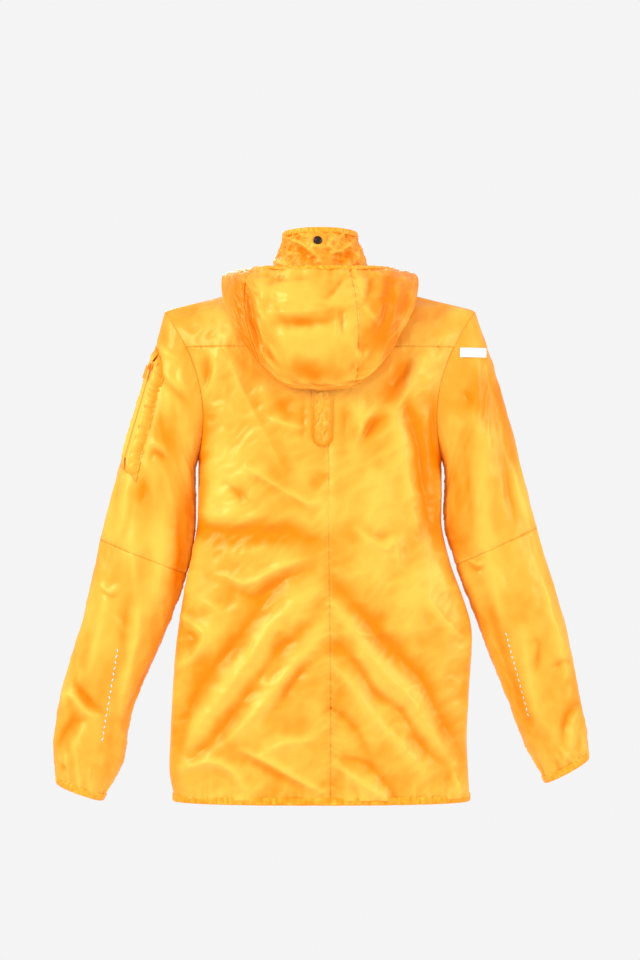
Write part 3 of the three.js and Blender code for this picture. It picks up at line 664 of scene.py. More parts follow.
def sheet(name, shape, across, along, cells, body, facing, look=SHELL, closed=False,
          thickness=0.5, replaced=(), fold=None):
    """One cut piece of cloth."""
    bm = bmesh.new()
    flat = cut_sheet(bm, shape, across, along, cells, facing, fold)
    if closed:
        bmesh.ops.remove_doubles(bm, verts=bm.verts, dist=1e-6)
    area = sum(face.calc_area() for face in bm.faces)
    piece = finish_piece(bm, name, look, body, replaced, thickness)
    # Where the longest threads give one outside that, it is scaled to fit, so that size is an estimate
    # and not a measurement.
    share = area / (flat[0] * flat[1])
    fit = math.sqrt(share / np.clip(share, LEAST_SHARE, MOST_SHARE))
    flat = (flat[0] * fit, flat[1] * fit)
    if fit != 1:
        print(f"{name}: fills {share:.3f} of its threads' rectangle, flat sizes times {fit:.3f}")
    print(f"{name}: cut {flat[0] * 1000:.0f} x {flat[1] * 1000:.0f} mm, {area * 1e4:.0f} cm2")
    return piece


def lifted(shape, side, height):
    """The same surface moved outwards; height is a number or a function of u and v."""

    def up(u, v):
        e = 1e-3
        n = np.cross(shape(u + e, v) - shape(u - e, v), shape(u, v + e) - shape(u, v - e))
        rise = height(u, v) if callable(height) else np.full(np.shape(u), height)
        return shape(u, v) + unit(n) * side * rise[..., None]

    return up


def painted_shading(relief, shades=(), lift=0.0):
    """Painted light and shade: paler on the ridges, deeper in the hollows, plus drawn strokes of painted
    shade and painted light; lift makes a whole piece paler or deeper.
    """

    def read(u, v, p):
        shade = drawn(p[..., 0], p[..., 2], shades) if shades else 0
        return np.clip(0.52 + lift + 0.075 * relief(u, v, p) + shade, 0, 1)

    return read


# %% [markdown]
# ## Body panels
#
# Two back panels, a yoke and two fronts. Each is one sheet with the frame's own edges, so that the
# seams meet in a shallow groove. A Solidify modifier adds the wall inwards. Near the armholes, across
# the waist and below the shoulders the colour is painted deeper, painted shade, and a few broad areas are
# painted paler, painted light.

# %% Back, yoke and fronts
# Painted shade (negative amounts) and painted light (positive amounts), drawn as strokes on the back's
# colour.
BACK_PAINTED_SHADING = [
    (-0.35, 13, [(-108, -156), (-126, -205), (-134, -260), (-142, -320)]),
    (-0.3, 9, [(-142, -150), (-147, -200), (-152, -250)]),
    (-0.35, 9, [(147, -160), (149, -200), (150, -245)]),
    (-0.22, 9, [(152, -245), (150, -300), (160, -350)]),
    (-0.22, 14, [(165, -312), (110, -322), (50, -322), (-5, -330)]),
    (0.2, 22, [(110, -200), (125, -265), (100, -285)]),
    (0.2, 22, [(30, -400), (80, -340), (120, -350)]),
    (0.16, 25, [(-40, -230), (-70, -280), (-80, -400)]),
    (0.2, 20, [(-40, -440), (-80, -520), (-110, -560)]),
    (0.2, 14, [(60, -440), (110, -505), (150, -570)]),
    (-0.2, 12, [(60, -130), (90, -115), (110, -96)]),
    (-0.15, 16, [(-60, -120), (-80, -105), (-104, -96)]),
]
for side, hand in (("left", 1), ("right", -1)):
    sheet(f"back_{side}_cloth", back_shape, (BACK_SEAM, hand), (0.0035, 1.0), (136, 300), "jacket",
          (0.5 * hand, 0.5, (0, 1, 0)), replaced=[f"back_{side}_panel"],
          fold=painted_shading(back_relief, BACK_PAINTED_SHADING))
    sheet(f"front_{side}_cloth", front_shape, (0.0, hand), (0.0035, 2.0), (64, 240), "jacket",
          (0.5 * hand, 0.5, (0, -1, 0)), replaced=[f"front_{side}_panel", f"front_{side}_chest"],
          fold=painted_shading(front_relief))
sheet("yoke_cloth", back_shape, (-1, 1), (1.0, 2.0), (180, 44), "jacket", (0.3, 1.3, (0, 1, 0)),
      replaced=["back_yoke"], fold=painted_shading(back_relief, BACK_PAINTED_SHADING))

# %% [markdown]
# ## Sleeves
#
# A sleeve is a tube that starts on the armhole and narrows to the cuff, in two lengths joined at the
# elbow. Long folds run down it from the shoulder, and the elastic gathers the cuff. At the shoulder and
# the elbow each piece is given two bodies and a line between them, but it is only baked in place.

# %% Sleeve surface
SLEEVE_EDGES = {  # share of the length, outer edge x and z, inner edge x and z
    "left": [
        (0, 196, -42, 155.6, -229), (0.14, 217, -118, 157.5, -262), (0.28, 246, -212, 158, -315),
        (0.42, 278, -330, 169, -373), (0.58, 302, -432, 198, -453), (0.74, 328, -524, 238, -546),
        (0.88, 339, -596, 250, -612), (1, 334, -638, 276, -660),
    ],
    "right": [
        (0, 196, -42, 155.6, -229), (0.14, 222, -118, 157.5, -262), (0.28, 246, -208, 158, -315),
        (0.42, 274, -315, 172, -362), (0.58, 303, -412, 199, -434), (0.74, 326, -510, 232, -518),
        (0.88, 339, -572, 258, -584), (1, 341, -606, 286, -638),
    ],
}
ELBOW = 0.42
sleeve_depth = through([(0, 36), (0.2, 35), (0.42, 31), (0.74, 27), (0.9, 26), (1, 22)])


def sleeve_base(side):
    rows = SLEEVE_EDGES[side]
    edge = [through([(row[0], row[k]) for row in rows]) for k in (1, 2, 3, 4)]
    hand = 1 if side == "left" else -1

    def shape(angle, v):
        outer = xyz(edge[0](v), -14 * v * v, edge[1](v))
        inner = xyz(edge[2](v), -14 * v * v, edge[3](v))
        p = (outer + inner) / 2 + np.cos(angle)[..., None] * (outer - inner) / 2
        p[..., 0] -= ARMHOLE_BOW * np.sin(angle) ** 2 * np.maximum(1 - v / 0.14, 0) ** 2
        p[..., 1] += sleeve_depth(v) * power(np.sin(angle), 0.9)
        at_hole = armhole_point(angle + 0 * v)
        p = p + (at_hole - p) * (1 - smooth(v / 0.03))[..., None]
        p[..., 0] *= hand
        return p

    return shape


SLEEVE_STROKES = {
    "left": [
        (-3, 5, [(196, -125), (184, -141), (172, -152), (160, -163)]),
        (3.5, 4, [(202, -86), (190, -96), (174, -104)]),
        (3.5, 4, [(198, -116), (186, -130), (174, -140)]),
        (3.5, 3.5, [(171, -107), (173, -129), (162, -146)]),
        (3.5, 5, [(222, -214), (205, -210), (192, -224)]),
        (-3.5, 4, [(213, -230), (206, -220), (190, -230)]),
        (3, 3, [(226, -214), (223, -230), (218, -242)]),
        (3, 3, [(216, -214), (217, -238)]),
        (3, 3.5, [(250, -253), (240, -247), (232, -244)]),
        (4, 5, [(234, -245), (242, -268), (245, -299), (252, -322)]),
        (-3.5, 9, [(222, -250), (220, -268), (228, -286)]),
        (3, 6, [(232, -288), (234, -354), (229, -400)]),
        (-4, 8, [(172, -300), (175, -354), (184, -405)]),
        (3, 10, [(195, -290), (197, -350), (206, -410)]),
        (3, 3, [(277, -385), (264, -395), (252, -388)]),
        (-2.5, 3, [(273, -393), (262, -402), (254, -396)]),
        (2.5, 3, [(257, -428), (250, -434), (247, -446)]),
        (-3.5, 7, [(240, -406), (247, -443), (245, -479)]),
        (4, 7, [(225, -406), (229, -449), (236, -475), (252, -546)]),
        (3.5, 7, [(268, -400), (278, -450), (291, -500)]),
        (-5.5, 6, [(309, -510), (294, -531), (274, -548)]),
        (4.5, 5, [(330, -527), (311, -527), (294, -546), (276, -553)]),
        (-4.5, 6, [(298, -556), (313, -562), (326, -580), (331, -598)]),
        (4, 6, [(290, -562), (302, -577), (313, -602)]),
        (-3.5, 6, [(216, -492), (234, -540), (244, -568)]),
        (3, 3, [(307, -596), (306, -620), (303, -645)]),
        (3, 3, [(321, -600), (318, -628)]),
        (-3, 5, [(328, -614), (317, -622)]),
        (2.5, 3, [(290, -615), (292, -645)]),
    ],
    "right": [
        (-3, 4, [(177, -144), (185, -150), (192, -160)]),
        (3, 3, [(196, -50), (202, -62), (205, -72)]),
        (2.5, 8, [(160, -176), (179, -184), (190, -176), (203, -198), (216, -216)]),
        (-3, 6, [(181, -208), (188, -284), (192, -327)]),
        (3, 8, [(205, -219), (207, -284), (212, -330)]),
        (-3.5, 7, [(227, -219), (238, -270), (246, -316)]),
        (3.5, 8, [(246, -241), (256, -280), (266, -312)]),
        (2.5, 3, [(186, -353), (196, -361), (205, -358)]),
        (-2.5, 3, [(188, -360), (198, -368), (206, -364)]),
        (3, 3, [(222, -368), (228, -380), (231, -392)]),
        (3, 6, [(214, -361), (220, -394), (229, -437)]),
        (-3.5, 7, [(211, -404), (220, -437), (233, -480), (250, -525), (263, -562)]),
        (-3.5, 5, [(268, -458), (275, -462), (271, -497)]),
        (3, 6, [(254, -440), (262, -500), (275, -560)]),
        (3, 6, [(285, -400), (300, -450), (312, -500)]),
        (-3, 4, [(295, -491), (305, -484), (316, -484)]),
        (-4.5, 5, [(328, -536), (313, -549), (306, -570), (305, -588)]),
        (4, 5, [(322, -550), (316, -570), (318, -600)]),
        (3, 3, [(302, -592), (312, -604), (326, -613)]),
        (2.5, 3, [(296, -598), (308, -616)]),
        (2.5, 3, [(332, -575), (332, -600)]),
    ],
}
POCKET_ANGLE, POCKET_FROM, POCKET_TO = math.radians(32), 0.1, 0.29


def sleeve_relief(side):
    hand = 1 if side == "left" else -1
    other = "right" if side == "left" else "left"
    length = 650

    def relief(angle, v, p):
        x, z = p[..., 0] * hand, p[..., 2]
        behind = smooth(np.sin(angle) / 0.4)
        before = smooth(-np.sin(angle) / 0.4)
        rise = drawn(x, z, SLEEVE_STROKES[side]) * behind
        rise += 0.8 * drawn(x, z, SLEEVE_STROKES[other]) * before
        turn = np.abs(math.pi - angle % (2 * math.pi))  # mirrored, so that the tube closes
        rise += 1.3 * crumple(turn * 45 / 26 + hand * 9, v * length / 90, 21)
        rise += 0.5 * crumple(turn * 45 / 9, v * length / 17 + hand * 7, 22)
        rise += 0.5 * creased(turn * 45 / 22 + v * 9, v * length / 44 + hand * 3, 63)
        rise *= smooth(v / 0.06)
        rise += 0.45 * seam_pucker((v - ELBOW) * length, turn * 45, 23, reach=8)
        rise += 0.6 * seam_pucker(turn * 40, v * length, 24 + hand, reach=8)
        rise += seam_pucker(v * length, turn * 95, 26, reach=9) * smooth(v / 0.01)
        to_cuff = (1 - v) * length
        gather = 1.7 * crumple(turn * 36 / 4.6, to_cuff / 60, 27) + 1.2 * crumple(turn * 36 / 9, 3, 28)
        rise += np.exp(-np.maximum(to_cuff - 8, 0) / 20) * gather
        if side == "left":
            around = smooth(1.6 - np.abs(angle - POCKET_ANGLE) / 0.42)
            rise *= 1 - 0.9 * around * smooth((v - 0.07) / 0.03) * smooth((0.33 - v) / 0.03)
        else:
            label = smooth((x - 165) / 12) * smooth((z + 112) / 12) * smooth((-80 - z) / 12)
            rise *= 1 - 0.6 * label * behind
        groove = 0.35 * (1 - smooth(v / 0.005)) + 0.25 * (1 - smooth(np.abs(v - ELBOW) / 0.003))
        return rise - groove

    return relief


SLEEVE = {side: raised(sleeve_base(side), sleeve_relief(side), -1 if side == "left" else 1)
          for side in SLEEVE_EDGES}
print("sleeve strokes:", {side: len(lines) for side, lines in SLEEVE_STROKES.items()})

# %% Upper sleeves and forearms
# Painted shade (negative) and painted light (positive) on the sleeves' colour: deeper near the armholes,
# paler along lit folds.
SLEEVE_PAINTED_SHADING = {
    "left": [
        (-0.25, 16, [(190, -175), (200, -190), (180, -215)]),
        (0.18, 14, [(205, -130), (190, -155), (200, -170)]),
        (0.22, 16, [(205, -300), (205, -360), (215, -430)]),
        (-0.2, 8, [(222, -255), (222, -280)]),
        (-0.2, 8, [(172, -260), (172, -320), (180, -390)]),
    ],
    "right": [
        (-0.3, 24, [(-185, -110), (-205, -140), (-200, -190)]),
        (-0.25, 12, [(-225, -140), (-238, -190), (-242, -240)]),
        (0.22, 14, [(-195, -225), (-200, -300), (-215, -400)]),
        (0.18, 10, [(-255, -270), (-268, -330), (-290, -420)]),
        (-0.2, 7, [(-170, -240), (-172, -310)]),
    ],
}
TURN = 2 * math.pi


def blend_at(side, v, reach, low, high):
    """Where the cloth's hold passes from one body to the next, along the sleeve at v."""
    base = sleeve_base(side)
    spots = np.array([math.pi / 2, 3 * math.pi / 2])
    here = base(spots, np.full(2, v)).mean(0)
    there = base(spots, np.full(2, v + 0.05)).mean(0)
    start = place(here)
    end = start + unit(there - here) * reach * MM
    return (low, high, tuple(map(float, start)), tuple(map(float, end)))


SHOULDER = {}  # how the cloth's hold passes from the jacket to each upper sleeve
for side, hand in (("left", 1), ("right", -1)):
    start = np.array([0.175 * hand, -0.036, -0.141])
    end = start + 0.045 * unit(np.array([0.975 * hand, 0, -0.22]))
    SHOULDER[side] = ("jacket", f"{side}_upper_sleeve", tuple(map(float, start)), tuple(map(float, end)))
    tone = painted_shading(sleeve_relief(side), SLEEVE_PAINTED_SHADING[side])
    sheet(f"upper_sleeve_{side}_cloth", SLEEVE[side], (0, TURN), (0.0, ELBOW), (132, 120), SHOULDER[side],
          (math.pi / 2, 0.2, (0, 1, 0)), closed=True, replaced=[f"upper_sleeve_{side}"], fold=tone)
    elbow = blend_at(side, ELBOW, 85, f"{side}_upper_sleeve", f"{side}_forearm")
    sheet(f"forearm_sleeve_{side}_cloth", SLEEVE[side], (0, TURN), (ELBOW, 0.995), (132, 170), elbow,
          (math.pi / 2, 0.7, (0, 1, 0)), closed=True, replaced=[f"forearm_sleeve_{side}"], fold=tone)

# %% [markdown]
# ## Hood
#
# The hood lies down the back as a soft pouch. Its inner layer runs from the neck over the yoke, turns
# at a fold, and the outer layer comes back up to the rim beside the collar. Three panels make it: a
# centre one and two sides, with puckered seams between them.

# %% Hood surface
FOLD = [  # degrees round from the back, and the fold's place there
    (0, 0, 70, -144), (18, 44, 71, -137), (36, 78, 70, -105), (52, 101, 60, -62), (68, 115, 38, -28),
    (90, 116, 6, -2), (115, 92, -38, -20), (135, 66, -60, -36), (152, 40, -63, -46),
]
HOOD_END = 152
HOOD_SEAMS = (-18, 45)  # where the cut panels meet; the warp below carries the seams to their places
left_seam = through([(0, 30), (0.3, 26), (0.5, 22), (0.62, 31), (0.75, 45), (0.88, 56), (1, 62)])
right_seam = through([(0, -16), (0.5, -16), (1, -22)])
fold_x, fold_y, fold_z = (through([(row[0], row[k]) for row in FOLD]) for k in (1, 2, 3))


def rounded_path(corners, t):
    """A centripetal curve through corners, a list of point arrays, read at t from 0 to 1."""
    corners = np.stack(corners)  # corner, point, axis
    first = 2 * corners[0] - corners[1]
    last = 2 * corners[-1] - corners[-2]
    all_corners = np.concatenate([first[None], corners, last[None]])
    place_on = np.clip(t, 0, 1) * (len(corners) - 1)
    i = np.minimum(place_on.astype(int), len(corners) - 2)
    w = (place_on - i)[..., None]
    rows = np.arange(corners.shape[1])
    a, b, c, d = (all_corners[i + k, rows] for k in range(4))
    gap = [np.maximum(np.linalg.norm(q - p, axis=-1, keepdims=True) ** 0.5, 1e-4)
           for p, q in ((a, b), (b, c), (c, d))]
    leave = ((b - a) / gap[0] - (c - a) / (gap[0] + gap[1]) + (c - b) / gap[1]) * gap[1]
    reach = ((c - b) / gap[1] - (d - b) / (gap[1] + gap[2]) + (d - c) / gap[2]) * gap[1]
    cubic = (2 * b - 2 * c + leave + reach) * w**3
    return b + leave * w + (3 * c - 3 * b - 2 * leave - reach) * w**2 + cubic


def hood_base(degrees, t):
    turn = np.clip(np.abs(degrees), 0, HOOD_END)
    radians = np.radians(turn)
    neck = neck_point(radians)
    out = xyz(np.sin(radians), np.cos(radians), 0 * turn)
    start = neck + out * 6 + [0, 0, 2]
    fold = xyz(fold_x(turn), fold_y(turn), fold_z(turn))
    rim = neck + out * lerp(20, 13, turn / HOOD_END)[..., None]
    rim[..., 2] += lerp(12, 20, smooth(turn / HOOD_END))
    swell = lerp(26, 7, smooth(turn / 120))[..., None]
    low = start + (fold - start) * 0.55 + out * 1.5
    high = fold + (rim - fold) * 0.5 + out * swell * 0.8 + [0, 0, 0.5] * swell
    turn_up = fold + out * swell * 0.45 + [0, 0, 6]
    p = rounded_path([start, low, fold, turn_up, high, rim], t)
    p[..., 0] *= np.where(degrees < 0, -1, 1)
    return p


def hood_cut(degrees, t):
    """The hood by its cut: the left seam leans in towards the bottom of the pouch."""
    right, left = HOOD_SEAMS
    to_right, to_left = right_seam(t), left_seam(t)
    middle = lerp(to_right, to_left, (degrees - right) / (left - right))
    past_left = lerp(to_left, HOOD_END, (degrees - left) / (HOOD_END - left))
    past_right = lerp(to_right, -HOOD_END, (right - degrees) / (HOOD_END + right))
    turned = np.where(degrees > left, past_left, np.where(degrees < right, past_right, middle))
    return hood_base(turned, t)


HOOD_STROKES = [
    (3.5, 3, [(64, -48), (30, -48), (4, -45), (-21, -41)]),
    (-5, 8, [(58, -60), (20, -62), (-18, -58)]),
    (3, 10, [(50, -76), (15, -80), (-10, -74)]),
    (2.5, 3, [(78, -45), (71, -52), (67, -62)]),
    (-2, 3, [(75, -52), (64, -50)]),
    (2.5, 3, [(-12, -38), (-24, -24), (-33, -8)]),
    (-2.5, 3, [(-8, -32), (-22, -16), (-30, -2)]),
    (2.5, 3, [(2, -36), (-14, -38), (-28, -40)]),
    (2.5, 3, [(-20, -45), (-21, -70), (-19, -92)]),
    (-2.5, 3, [(-27, -50), (-28, -80)]),
    (3.5, 6, [(-46, 5), (-52, -15), (-48, -35)]),
    (-3.5, 5, [(-62, -6), (-58, -30), (-52, -42)]),
    (3.5, 4, [(-52, -38), (-64, -52), (-71, -64)]),
    (2.5, 3, [(-42, -88), (-48, -104), (-43, -118)]),
    (-2.5, 3, [(-50, -92), (-54, -108), (-48, -120)]),
    (3, 3, [(-58, -96), (-52, -112)]),
    (3, 4, [(102, -12), (94, -40), (82, -80)]),
    (-4, 5, [(93, -14), (85, -50), (74, -86)]),
    (3, 3, [(72, -94), (62, -110), (52, -122)]),
    (-2.5, 3, [(66, -90), (56, -108), (46, -118)]),
    (3, 3, [(60, -88), (52, -104)]),
    (-2.5, 6, [(70, 0), (40, -8), (10, -4)]),
    (2.5, 6, [(74, -16), (40, -26), (10, -20)]),
    (3, 6, [(-98, -8), (-92, -40), (-80, -70)]),
    (-3.5, 6, [(-86, 0), (-82, -40), (-72, -76)]),
]
# Painted shade on the hood's wings, at the bottom of the pouch and under its fold, and painted light on
# its broad centre.
HOOD_PAINTED_SHADING = [
    (-0.5, 15, [(100, 4), (104, -30), (84, -84), (62, -114)]),
    (-0.55, 17, [(-84, 2), (-90, -40), (-72, -86)]),
    (-0.34, 17, [(50, -118), (0, -124), (-35, -118)]),
    (-0.2, 7, [(60, -58), (20, -60), (-20, -57)]),
    (0.3, 16, [(60, -20), (30, -30), (0, -22)]),
    (0.3, 14, [(40, -84), (10, -88), (-20, -80)]),
    (0.25, 8, [(-50, 0), (-54, -30), (-60, -50)]),
]


def hood_relief(degrees, t, p):
    x, z = p[..., 0], p[..., 2]
    outer = smooth((t - 0.5) / 0.1)
    ends = smooth((HOOD_END - np.abs(degrees)) / 14)
    rise = drawn(x, z, HOOD_STROKES) * outer
    rise += (0.4 + 0.6 * outer) * 1.5 * crumple(x / 24 + 7, t * 11, 31)
    rise += outer * (0.7 * crumple(degrees / 6, t * 30, 32) + 1.1 * creased(degrees / 15, t * 13, 64))
    rise += outer * 0.5 * creased(degrees / 6 + t * 9, t * 26, 65)
    rise *= 1 - 0.6 * smooth((np.abs(degrees) - 55) / 30)  # the sides are pulled smooth over the shoulders
    for seam in HOOD_SEAMS:
        rise += outer * 1.1 * seam_pucker((degrees - seam) * 1.5, t * 260, 33 + seam, reach=9)
    rim = np.exp(-np.maximum(0.985 - t, 0) * 260 / 16)
    rise += rim * (1.3 * crumple(degrees * 1.5 / 4.5, t * 6, 35) + 0.7 * crumple(degrees * 1.5 / 9, 2, 36))
    return rise * smooth(t / 0.12) * ends


hood_shape = raised(hood_cut, hood_relief, -1)
neck_hold = ("jacket", "hood", (0.0, 0.016, 0.0), (0.0, 0.036, -0.03))
for name, edges, cells, at in (
    ("centre", HOOD_SEAMS, (84, 150), 20),
    ("left", (HOOD_SEAMS[1], HOOD_END), (100, 150), 70),
    ("right", (-HOOD_END, HOOD_SEAMS[0]), (120, 150), -50),
):
    outward = (math.sin(math.radians(at)), math.cos(math.radians(at)), 0.3)
    # The centre panel is painted a little paler and the sides deeper: painted light and painted shade.
    tone = painted_shading(hood_relief, HOOD_PAINTED_SHADING, 0.06 if name == "centre" else -0.05)
    sheet(f"hood_{name}_cloth", hood_shape, edges, (0.0, 0.98), cells, neck_hold, (at, 0.85, outward),
          look=HOOD, replaced=[f"hood_{name}_panel"], fold=tone)

# %% [markdown]
# ## Collar
#
# The stand collar is two layers of nylon, crushed by the elastic in its top edge. Small sharp crumples
# catch the light here more than anywhere else, so its noise is finer and deeper than the body's.

# %% Collar shell and facing
def collar_base(degrees, up):
    radians = np.radians(degrees)
    p = neck_point(radians)
    p[..., 0] *= lerp(1, 47 / 66, up)
    p[..., 1] *= np.where(p[..., 1] > 0, lerp(1, 43 / 50, up), 1)
    p[..., 2] += 2 + up * (58 + 18 * smooth((np.abs(degrees) - 90) / 90))
    return p


COLLAR_STROKES = [
    (4, 3, [(48, 52), (30, 43), (15, 34), (-3, 16)]),
    (-3, 6, [(40, 40), (20, 30), (6, 16)]),
    (3, 3, [(-8, 22), (-22, 30), (-36, 38), (-46, 52)]),
    (-3, 5, [(-14, 16), (-30, 24), (-46, 32)]),
    (3, 3, [(-20, 50), (-12, 40), (-16, 32)]),
    (2.5, 2.5, [(30, 58), (22, 50), (14, 48)]),
    (3, 4, [(58, 24), (46, 14), (30, 10)]),
    (-2.5, 3, [(60, 34), (50, 26)]),
    (2.5, 2.5, [(-30, 54), (-24, 46)]),
    (3, 3, [(-56, 20), (-48, 28), (-52, 40)]),
    (2.5, 2.5, [(16, 44), (8, 38), (-4, 34)]),
]
SNAP_AT = (3.0, 44.0)


def collar_relief(degrees, up, p):
    x, z = p[..., 0], p[..., 2]
    behind = smooth(np.cos(np.radians(degrees)) / 0.3)
    rise = drawn(x, z, COLLAR_STROKES) * behind
    rise += 1.6 * crumple(degrees / 13, z / 11, 41) + 1.0 * crumple(degrees / 6, z / 6.5, 42)
    rise += 0.5 * crumple(degrees / 3, z / 3.6, 43) + 0.7 * creased(degrees / 11, z / 10, 66)
    rise -= 3.5 * smooth(np.abs(np.sin(np.radians(degrees)))) * up**3  # its corners fall in a little
    top = np.exp(-(1 - up) * 60 / 9)
    rise += top * 1.2 * crumple(degrees / 2.9, up, 44)
    flat = 1 - np.exp(-(((x - SNAP_AT[0]) ** 2 + (z - SNAP_AT[1]) ** 2) / 60)) * behind
    edges = smooth(up / 0.12) * smooth((175.5 - np.abs(degrees)) / 10)
    return rise * edges * flat


collar_shape = raised(collar_base, collar_relief, -1)
# The collar shell is painted a little deeper overall, painted shade, on top of the painted light and shade
# of its crumples.
sheet("collar_cloth", collar_shape, (-175, 175), (0.0, 0.95), (300, 60), "jacket", (0, 0.5, (0, 1, 0)),
      replaced=["collar_shell"], fold=painted_shading(collar_relief, (), -0.08))
sheet("collar_facing_cloth", lifted(collar_shape, -1, -2.6), (162, -162), (0.03, 0.93), (160, 30),
      "jacket", (0, 0.5, (0, -1, 0)), replaced=["collar_facing"], fold=painted_shading(collar_relief))

# %% [markdown]
# ## Gathered bindings
#
# The hem, cuffs, collar top and hood rim are folded bands with a thin elastic inside. Each is a closed
# tube swept along the edge of the cloth, and small ripples run across it where the elastic draws it up.

# %% Bands
def band(name, line, rise, span, steps, body, replaced, height=10.0, thick=3.4, low=-6.5, closed=False,
         pitch=2.6):
    """line(t) is the cloth's edge, rise(t) points from the edge back into the cloth."""
    e = 1e-4

    def shape(turn, t):
        at, up = line(t), unit(rise(t))
        along = unit(line(t + e) - line(t - e))
        out = unit(np.cross(along, up))
        up = unit(np.cross(out, along))
        ripple = 0.38 * crumple(t * span / pitch, np.sin(turn) * 0.6, 51)
        ripple += 0.3 * crumple(t * span / pitch / 2.3, np.cos(turn), 52)
        wide = (thick / 2) * power(np.cos(turn), 0.7) * (1 + 0.32 * ripple)
        tall = low + height / 2 + (height / 2 + 0.5 * ripple) * power(np.sin(turn), 0.7)
        wave = 0.35 * crumple(t * span / 14, 3, 53)
        return at + out * (wide + wave)[..., None] + up * tall[..., None]

    bm = bmesh.new()
    low_t, high_t = (0.0, 1.0) if closed else (0.004, 0.996)
    # Painted light and shade: the band is painted paler where its ripples swell out and deeper where they
    # sink, with the same noise as the ripples.
    fold = lambda u, v, p: np.clip(0.45 + 0.3 * crumple(v * span / pitch, np.sin(u) * 0.6, 51), 0, 1)
    cut_sheet(bm, shape, (0, TURN), (low_t, high_t), (14, steps), None, fold)
    bmesh.ops.remove_doubles(bm, verts=bm.verts, dist=1e-6)
    bmesh.ops.holes_fill(bm, edges=[edge for edge in bm.edges if edge.is_boundary])
    bmesh.ops.recalc_face_normals(bm, faces=bm.faces)
    print(f"{name}: {span:.0f} mm long")
    return finish_piece(bm, name, BAND, body, replaced)


def hem_line(t):
    turn = np.asarray(t) * 2
    part = np.where(turn < 1, turn, 2 - turn)
    s = np.where(part < 0.5, part * 2, 2 - part * 2)
    z = np.full(np.shape(s), HEM_Z + 6)
    p = np.where((part < 0.5)[..., None], body_point(-1, s, z), body_point(1, s, z))
    p[..., 0] *= np.where(turn < 1, 1, -1)
    hung(p)
    p[..., 2] = HEM_Z + 2
    return p


def upright(t):
    return np.broadcast_to([0.0, 0.0, 1.0], (*np.shape(t), 3))


band("hem_band", hem_line, upright, 790, 620, "jacket", ["hem_binding", "hem_elastic"], low=-5.6)


def collar_line(t):
    p = collar_base(lerp(175, -175, np.asarray(t)), np.ones(np.shape(t)))
    p[..., 2] -= 3
    return p


band("collar_band", collar_line, lambda t: -upright(t), 290, 300, "jacket",
     ["collar_binding", "collar_elastic"], height=7, thick=2.8, low=-4)


def rim_line(t):
    return hood_base(lerp(-HOOD_END, HOOD_END, np.asarray(t)), np.full(np.shape(t), 0.985))


def rim_rise(t):
    degrees = lerp(-HOOD_END, HOOD_END, np.asarray(t))
    return hood_base(degrees, np.full(np.shape(t), 0.9)) - rim_line(t)


band("hood_rim_band", rim_line, rim_rise, 430, 380, "hood", ["hood_rim_binding", "hood_rim_elastic"],
     height=5.5, thick=2.4, low=-3.6)
for side in ("left", "right"):
    base = sleeve_base(side)
    line = lambda t, base=base: base(TURN * np.asarray(t), np.full(np.shape(t), 0.992))
    rise = lambda t, base=base, line=line: (
        base(TURN * np.asarray(t), np.full(np.shape(t), 0.95)) - line(t))
    band(f"cuff_{side}_band", line, rise, 180, 150, f"{side}_forearm",
         [f"cuff_binding_{side}", f"cuff_elastic_{side}"], low=-5.6, closed=True)

# %% [markdown]
# ## Hood strap
#
# A soft strap hangs from the neck seam under the hood and ties the rolled hood up. It is folded double
# and topstitched, so it has a rounded end, a firm edge and a crinkled middle.

# %% Strap
STRAP_X, STRAP_HALF, STRAP_TOP, STRAP_BOTTOM = -3.0, 13.0, -14.0, -213.0


def strap_base(across, t):
    z = lerp(STRAP_BOTTOM, STRAP_TOP, t)
    row = np.where(z > YOKE_Z, 1 + (z - YOKE_Z) / -YOKE_Z, (z - HEM_Z) / (YOKE_Z - HEM_Z))
    y = half_body(1, np.full(np.shape(z), 0.02), row)[..., 1]
    from_end = np.clip((z - STRAP_BOTTOM) / STRAP_HALF, 0, 1)
    half = STRAP_HALF * np.sqrt(np.maximum(1 - (1 - from_end) ** 2, 0.0004))
    return xyz(STRAP_X + across * half, y + 2.6 - 0.8 * across**2, z)


def strap_relief(across, t, p):
    x, z = p[..., 0], p[..., 2]
    inner = np.exp(-((np.abs(across) / 0.72) ** 6))
    rise = inner * (1.3 * crumple(x / 4.2, z / 9, 61) + 0.7 * crumple(x / 2.4, z / 4, 62))
    rise -= 0.9 * np.exp(-(((np.abs(across) - 0.76) / 0.06) ** 2))
    return rise * smooth(t / 0.05)


strap_shape = raised(strap_base, strap_relief, -1)
# Painted shadow: a deeper band along the strap's edge and round its end.
STRAP_PAINTED_SHADOW = [
    (-0.3, 3.5, [(9, -150), (9, -198), (3, -210), (-3, -212), (-9, -210), (-15, -198), (-15, -150)])]
sheet("hood_strap_cloth", strap_shape, (-1, 1), (0.0, 1.0), (28, 180), "jacket", (0, 0.5, (0, 1, 0)),
      look=SHELL, replaced=["hood_strap"], thickness=0.9,
      fold=painted_shading(strap_relief, STRAP_PAINTED_SHADOW))

# %% [markdown]
# ## Sleeve pocket
#
# A short zip lies in the left upper sleeve. Two narrow welts cover its tapes, and the sewing has drawn
# them up into sharp little crinkles. A light bag hangs inside.

# %% Welts and bag
def welt_lift(angle, v):
    off = np.abs(angle - POCKET_ANGLE) * 46  # mm from the zip's middle
    rise = 5.2 * (1 - smooth((off - 6) / 14))
    ends = smooth((v - POCKET_FROM + 0.022) / 0.026) * smooth((POCKET_TO + 0.022 - v) / 0.026)
    slant = v * 650 + 0.9 * off
    crinkle = 1.0 * crumple(slant / 3.8, off / 14, 71) + 0.7 * creased(slant / 5.5, off / 16, 72)
    return np.maximum(0.5 + rise * ends + crinkle * smooth((off - 4.5) / 5) * ends, 0.4)


left_base = sleeve_base("left")
